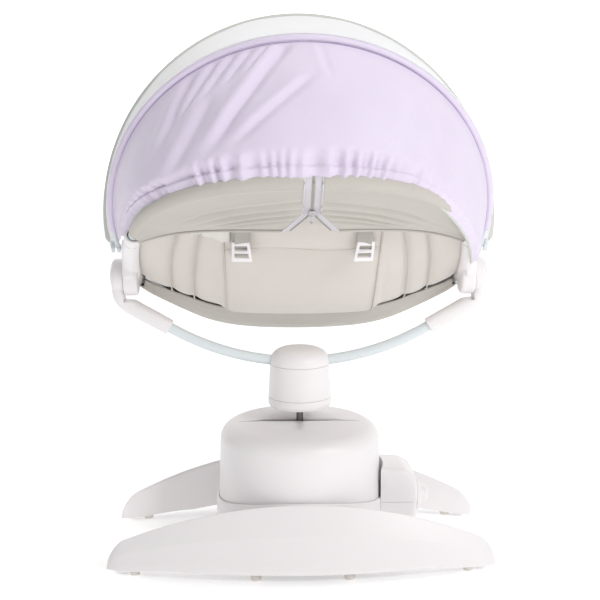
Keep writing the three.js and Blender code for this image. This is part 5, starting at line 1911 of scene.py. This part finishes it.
@dataclass
class Harness(SoftAssembly):
    """Two padded shoulder straps, the crotch strap and the round buckle."""

    pad_shape: Optional[SeatPad] = None
    lift: float = 0.0165
    shoulder_y: tuple[float, float] = (-0.168, -0.007)
    crotch_y: tuple[float, float] = (0.0425, 0.096)
    pad_reach: tuple[float, float] = (0.06, 0.52)
    pad_sides: int = 36

    def shoulder_route(self, side: int, t: float) -> Vector:
        """From the slot in the backrest to the buckle."""
        y = mix(*self.shoulder_y, t)
        x = side * (0.064 - 0.044 * t * t)
        return Vector((x, y, self.pad_shape.level(x, y) + self.lift + 0.008 * t))

    def crotch_route(self, t: float) -> Vector:
        """From the buckle forward into the seat."""
        y = mix(*self.crotch_y, t)
        return Vector((0, y, self.pad_shape.level(0, y) + mix(0.0195, 0.013, t)))

    def shoulder_pad(self, side: int, name: str) -> bpy.types.Object:
        """A soft sleeve round the upper strap."""
        rings = []
        for t in spread(30):
            place = mix(*self.pad_reach, t)
            before, centre, after = (self.shoulder_route(side, place + step) for step in (-0.01, 0, 0.01))
            ahead = (after - before).normalized()
            across = ahead.cross(Vector((0, 0, 1))).normalized()
            rise = across.cross(ahead)
            swell = math.sin(math.pi * mix(0.06, 0.94, t)) ** 0.35
            wide, tall = 0.021 * mix(0.8, 1.0, swell), 0.0065 * swell
            ring = []
            for k in range(self.pad_sides):
                turn = 2 * math.pi * k / self.pad_sides
                aside = across * wide * signed_power(math.cos(turn), 0.7)
                ring.append(centre + aside + rise * tall * signed_power(math.sin(turn), 0.9))
            rings.append(ring)
        return Workbench.capped(f"shoulder_pad_{name}", rings)

    def buckle(self) -> tuple[bpy.types.Object, bpy.types.Object]:
        """The buckle's body and its round button."""
        low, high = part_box("harness_buckle")
        centre = Vector((0, (low.y + high.y) / 2 - DATUM.shift, (low.z + high.z) / 2))
        corners = [
            (0, -0.0053, 0), (0.0205, -0.0053, 0.002), (0.0216, 0.0022, 0.004), (0.0175, 0.0054, 0.003),
            (0.0098, 0.0054, 0.0006), (0.0086, 0.0040, 0.0006), (0.0086, 0.0, 0), (0, 0.0, 0),
        ]
        body = Workbench.turned("buckle_body", rounded(corners, 5), "z", centre, 72)
        mouths = [
            Workbench.block((0.0150, 0.012, 0.0026), centre + Vector((x, y, 0)), 0.0006)
            for x, y in ((-0.011, -0.019), (0.011, -0.019), (0, 0.020))
        ]
        Workbench.boolean(body, mouths, "DIFFERENCE")
        cap = [
            (0, 0.0028, 0), (0.0079, 0.0028, 0), (0.0079, 0.0062, 0.0012), (0.0064, 0.0073, 0.0009),
            (0.0035, 0.0067, 0.002), (0, 0.0065, 0),
        ]
        return body, Workbench.turned("buckle_cap", rounded(cap, 4), "z", centre, 48)

    def build(self) -> None:
        """Makes and keeps the harness."""
        for side, name in ((1, "right"), (-1, "left")):
            strap = Loom.strap(
                f"shoulder_webbing_{name}", lambda t, side=side: self.shoulder_route(side, t), 0.0095, 0.0018, 60)
            self.keep(strap, "webbing", [f"{name}_shoulder_strap"], smooth=50.0)
            pad = self.keep(self.shoulder_pad(side, name), "pad_knit", slot="liner_knit", smooth=60.0)
        crotch = Loom.strap("crotch_webbing", self.crotch_route, 0.0125, 0.0018, 30)
        self.keep(crotch, "webbing", ["crotch_strap"], smooth=50.0)
        body, cap = self.buckle()
        self.keep(body, "white_shell", ["harness_buckle"])
        self.keep(cap, "inner_plastic", ["buckle_button"], body="buckle_button")


# ------------------------------------------------------------------ studio
@dataclass
class Studio:
    """A pale floor and backdrop, soft lights and the camera."""

    eye: tuple[float, float, float] = (-0.061, -1.762, 0.701)
    lens: float = 73.4
    look_down: float = 10.5
    look_aside: float = -2.0
    paper_size: float = 12.0
    backdrop_y: float = 5.5
    sky: float = 0.4
    aim: tuple[float, float, float] = (0.0, 0.0, 0.45)
    lamps: tuple[tuple[str, tuple[float, float, float], float, float], ...] = (
        ("key", (1.7, -2.0, 1.8), 0.9, 36.0),
        ("fill", (-2.0, -1.4, 1.0), 2.0, 4.0),
        ("top", (0.2, 0.3, 2.6), 1.8, 15.0),
    )

    def build(self) -> None:
        """Places the studio."""
        self.camera()
        self.surfaces()
        self.lights()

    def camera(self) -> None:
        """Sets a long lens behind the head end, level with the middle of the seat."""
        camera = bpy.data.cameras.new("camera")
        camera.sensor_width = 36.0
        camera.lens = self.lens
        eye = bpy.data.objects.new("camera", camera)
        eye.location = Vector(self.eye) + Vector((0, DATUM.shift, 0))
        eye.rotation_euler = (math.radians(90 - self.look_down), 0, math.radians(self.look_aside))
        bpy.context.scene.collection.objects.link(eye)
        bpy.context.scene.camera = eye

    def surfaces(self) -> None:
        """The floor and a bright backdrop."""
        bpy.ops.mesh.primitive_plane_add(size=self.paper_size, location=(0, 0, 0))
        floor = bpy.context.object
        floor.name = "floor"
        graph = Graph("floor_paper")
        graph.feed("Base Color", (0.9, 0.9, 0.9, 1))
        graph.feed("Roughness", 0.9)
        graph.feed("Emission Color", (1, 1, 1, 1))
        graph.feed("Emission Strength", 0.34)
        floor.data.materials.append(graph.material)
        place, upright = (0, self.backdrop_y, self.paper_size / 4), (math.radians(90), 0, 0)
        bpy.ops.mesh.primitive_plane_add(size=self.paper_size, location=place, rotation=upright)
        backdrop = bpy.context.object
        backdrop.name = "backdrop"
        paper = Graph("backdrop_paper")
        paper.feed("Base Color", (0.9, 0.9, 0.9, 1))
        paper.feed("Emission Color", (1, 1, 1, 1))
        paper.feed("Emission Strength", 0.9)
        backdrop.data.materials.append(paper.material)

    def lights(self) -> None:
        """A large key from the upper right, a fill from the left and a top light."""
        world = bpy.context.scene.world or bpy.data.worlds.new("studio")
        bpy.context.scene.world = world
        world.use_nodes = True
        world.node_tree.nodes["Background"].inputs["Color"].default_value = (1, 1, 1, 1)
        world.node_tree.nodes["Background"].inputs["Strength"].default_value = self.sky
        target = Vector(self.aim)
        for name, place, size, power in self.lamps:
            light = bpy.data.lights.new(name, "AREA")
            light.size = size
            light.energy = power
            lamp = bpy.data.objects.new(name, light)
            lamp.location = place
            lamp.rotation_euler = (target - Vector(place)).to_track_quat("-Z", "Y").to_euler()
            bpy.context.scene.collection.objects.link(lamp)
        bpy.context.scene.view_settings.view_transform = "Standard"


def main() -> None:
    """Builds the studio and the swing's assemblies in order."""
    logging.basicConfig(level=logging.INFO, format="%(name)s %(message)s")
    Studio().build()
    finishes = Finishes()
    pad = SeatPad(finishes)
    assemblies = (
        BaseUnit(finishes), SwingArm(finishes), SeatFrame(finishes), Covers(finishes), pad,
        Harness(finishes, pad_shape=pad), Canopy(finishes),
    )
    for assembly in assemblies:
        assembly.build()


if __name__ == "__main__":
    main()
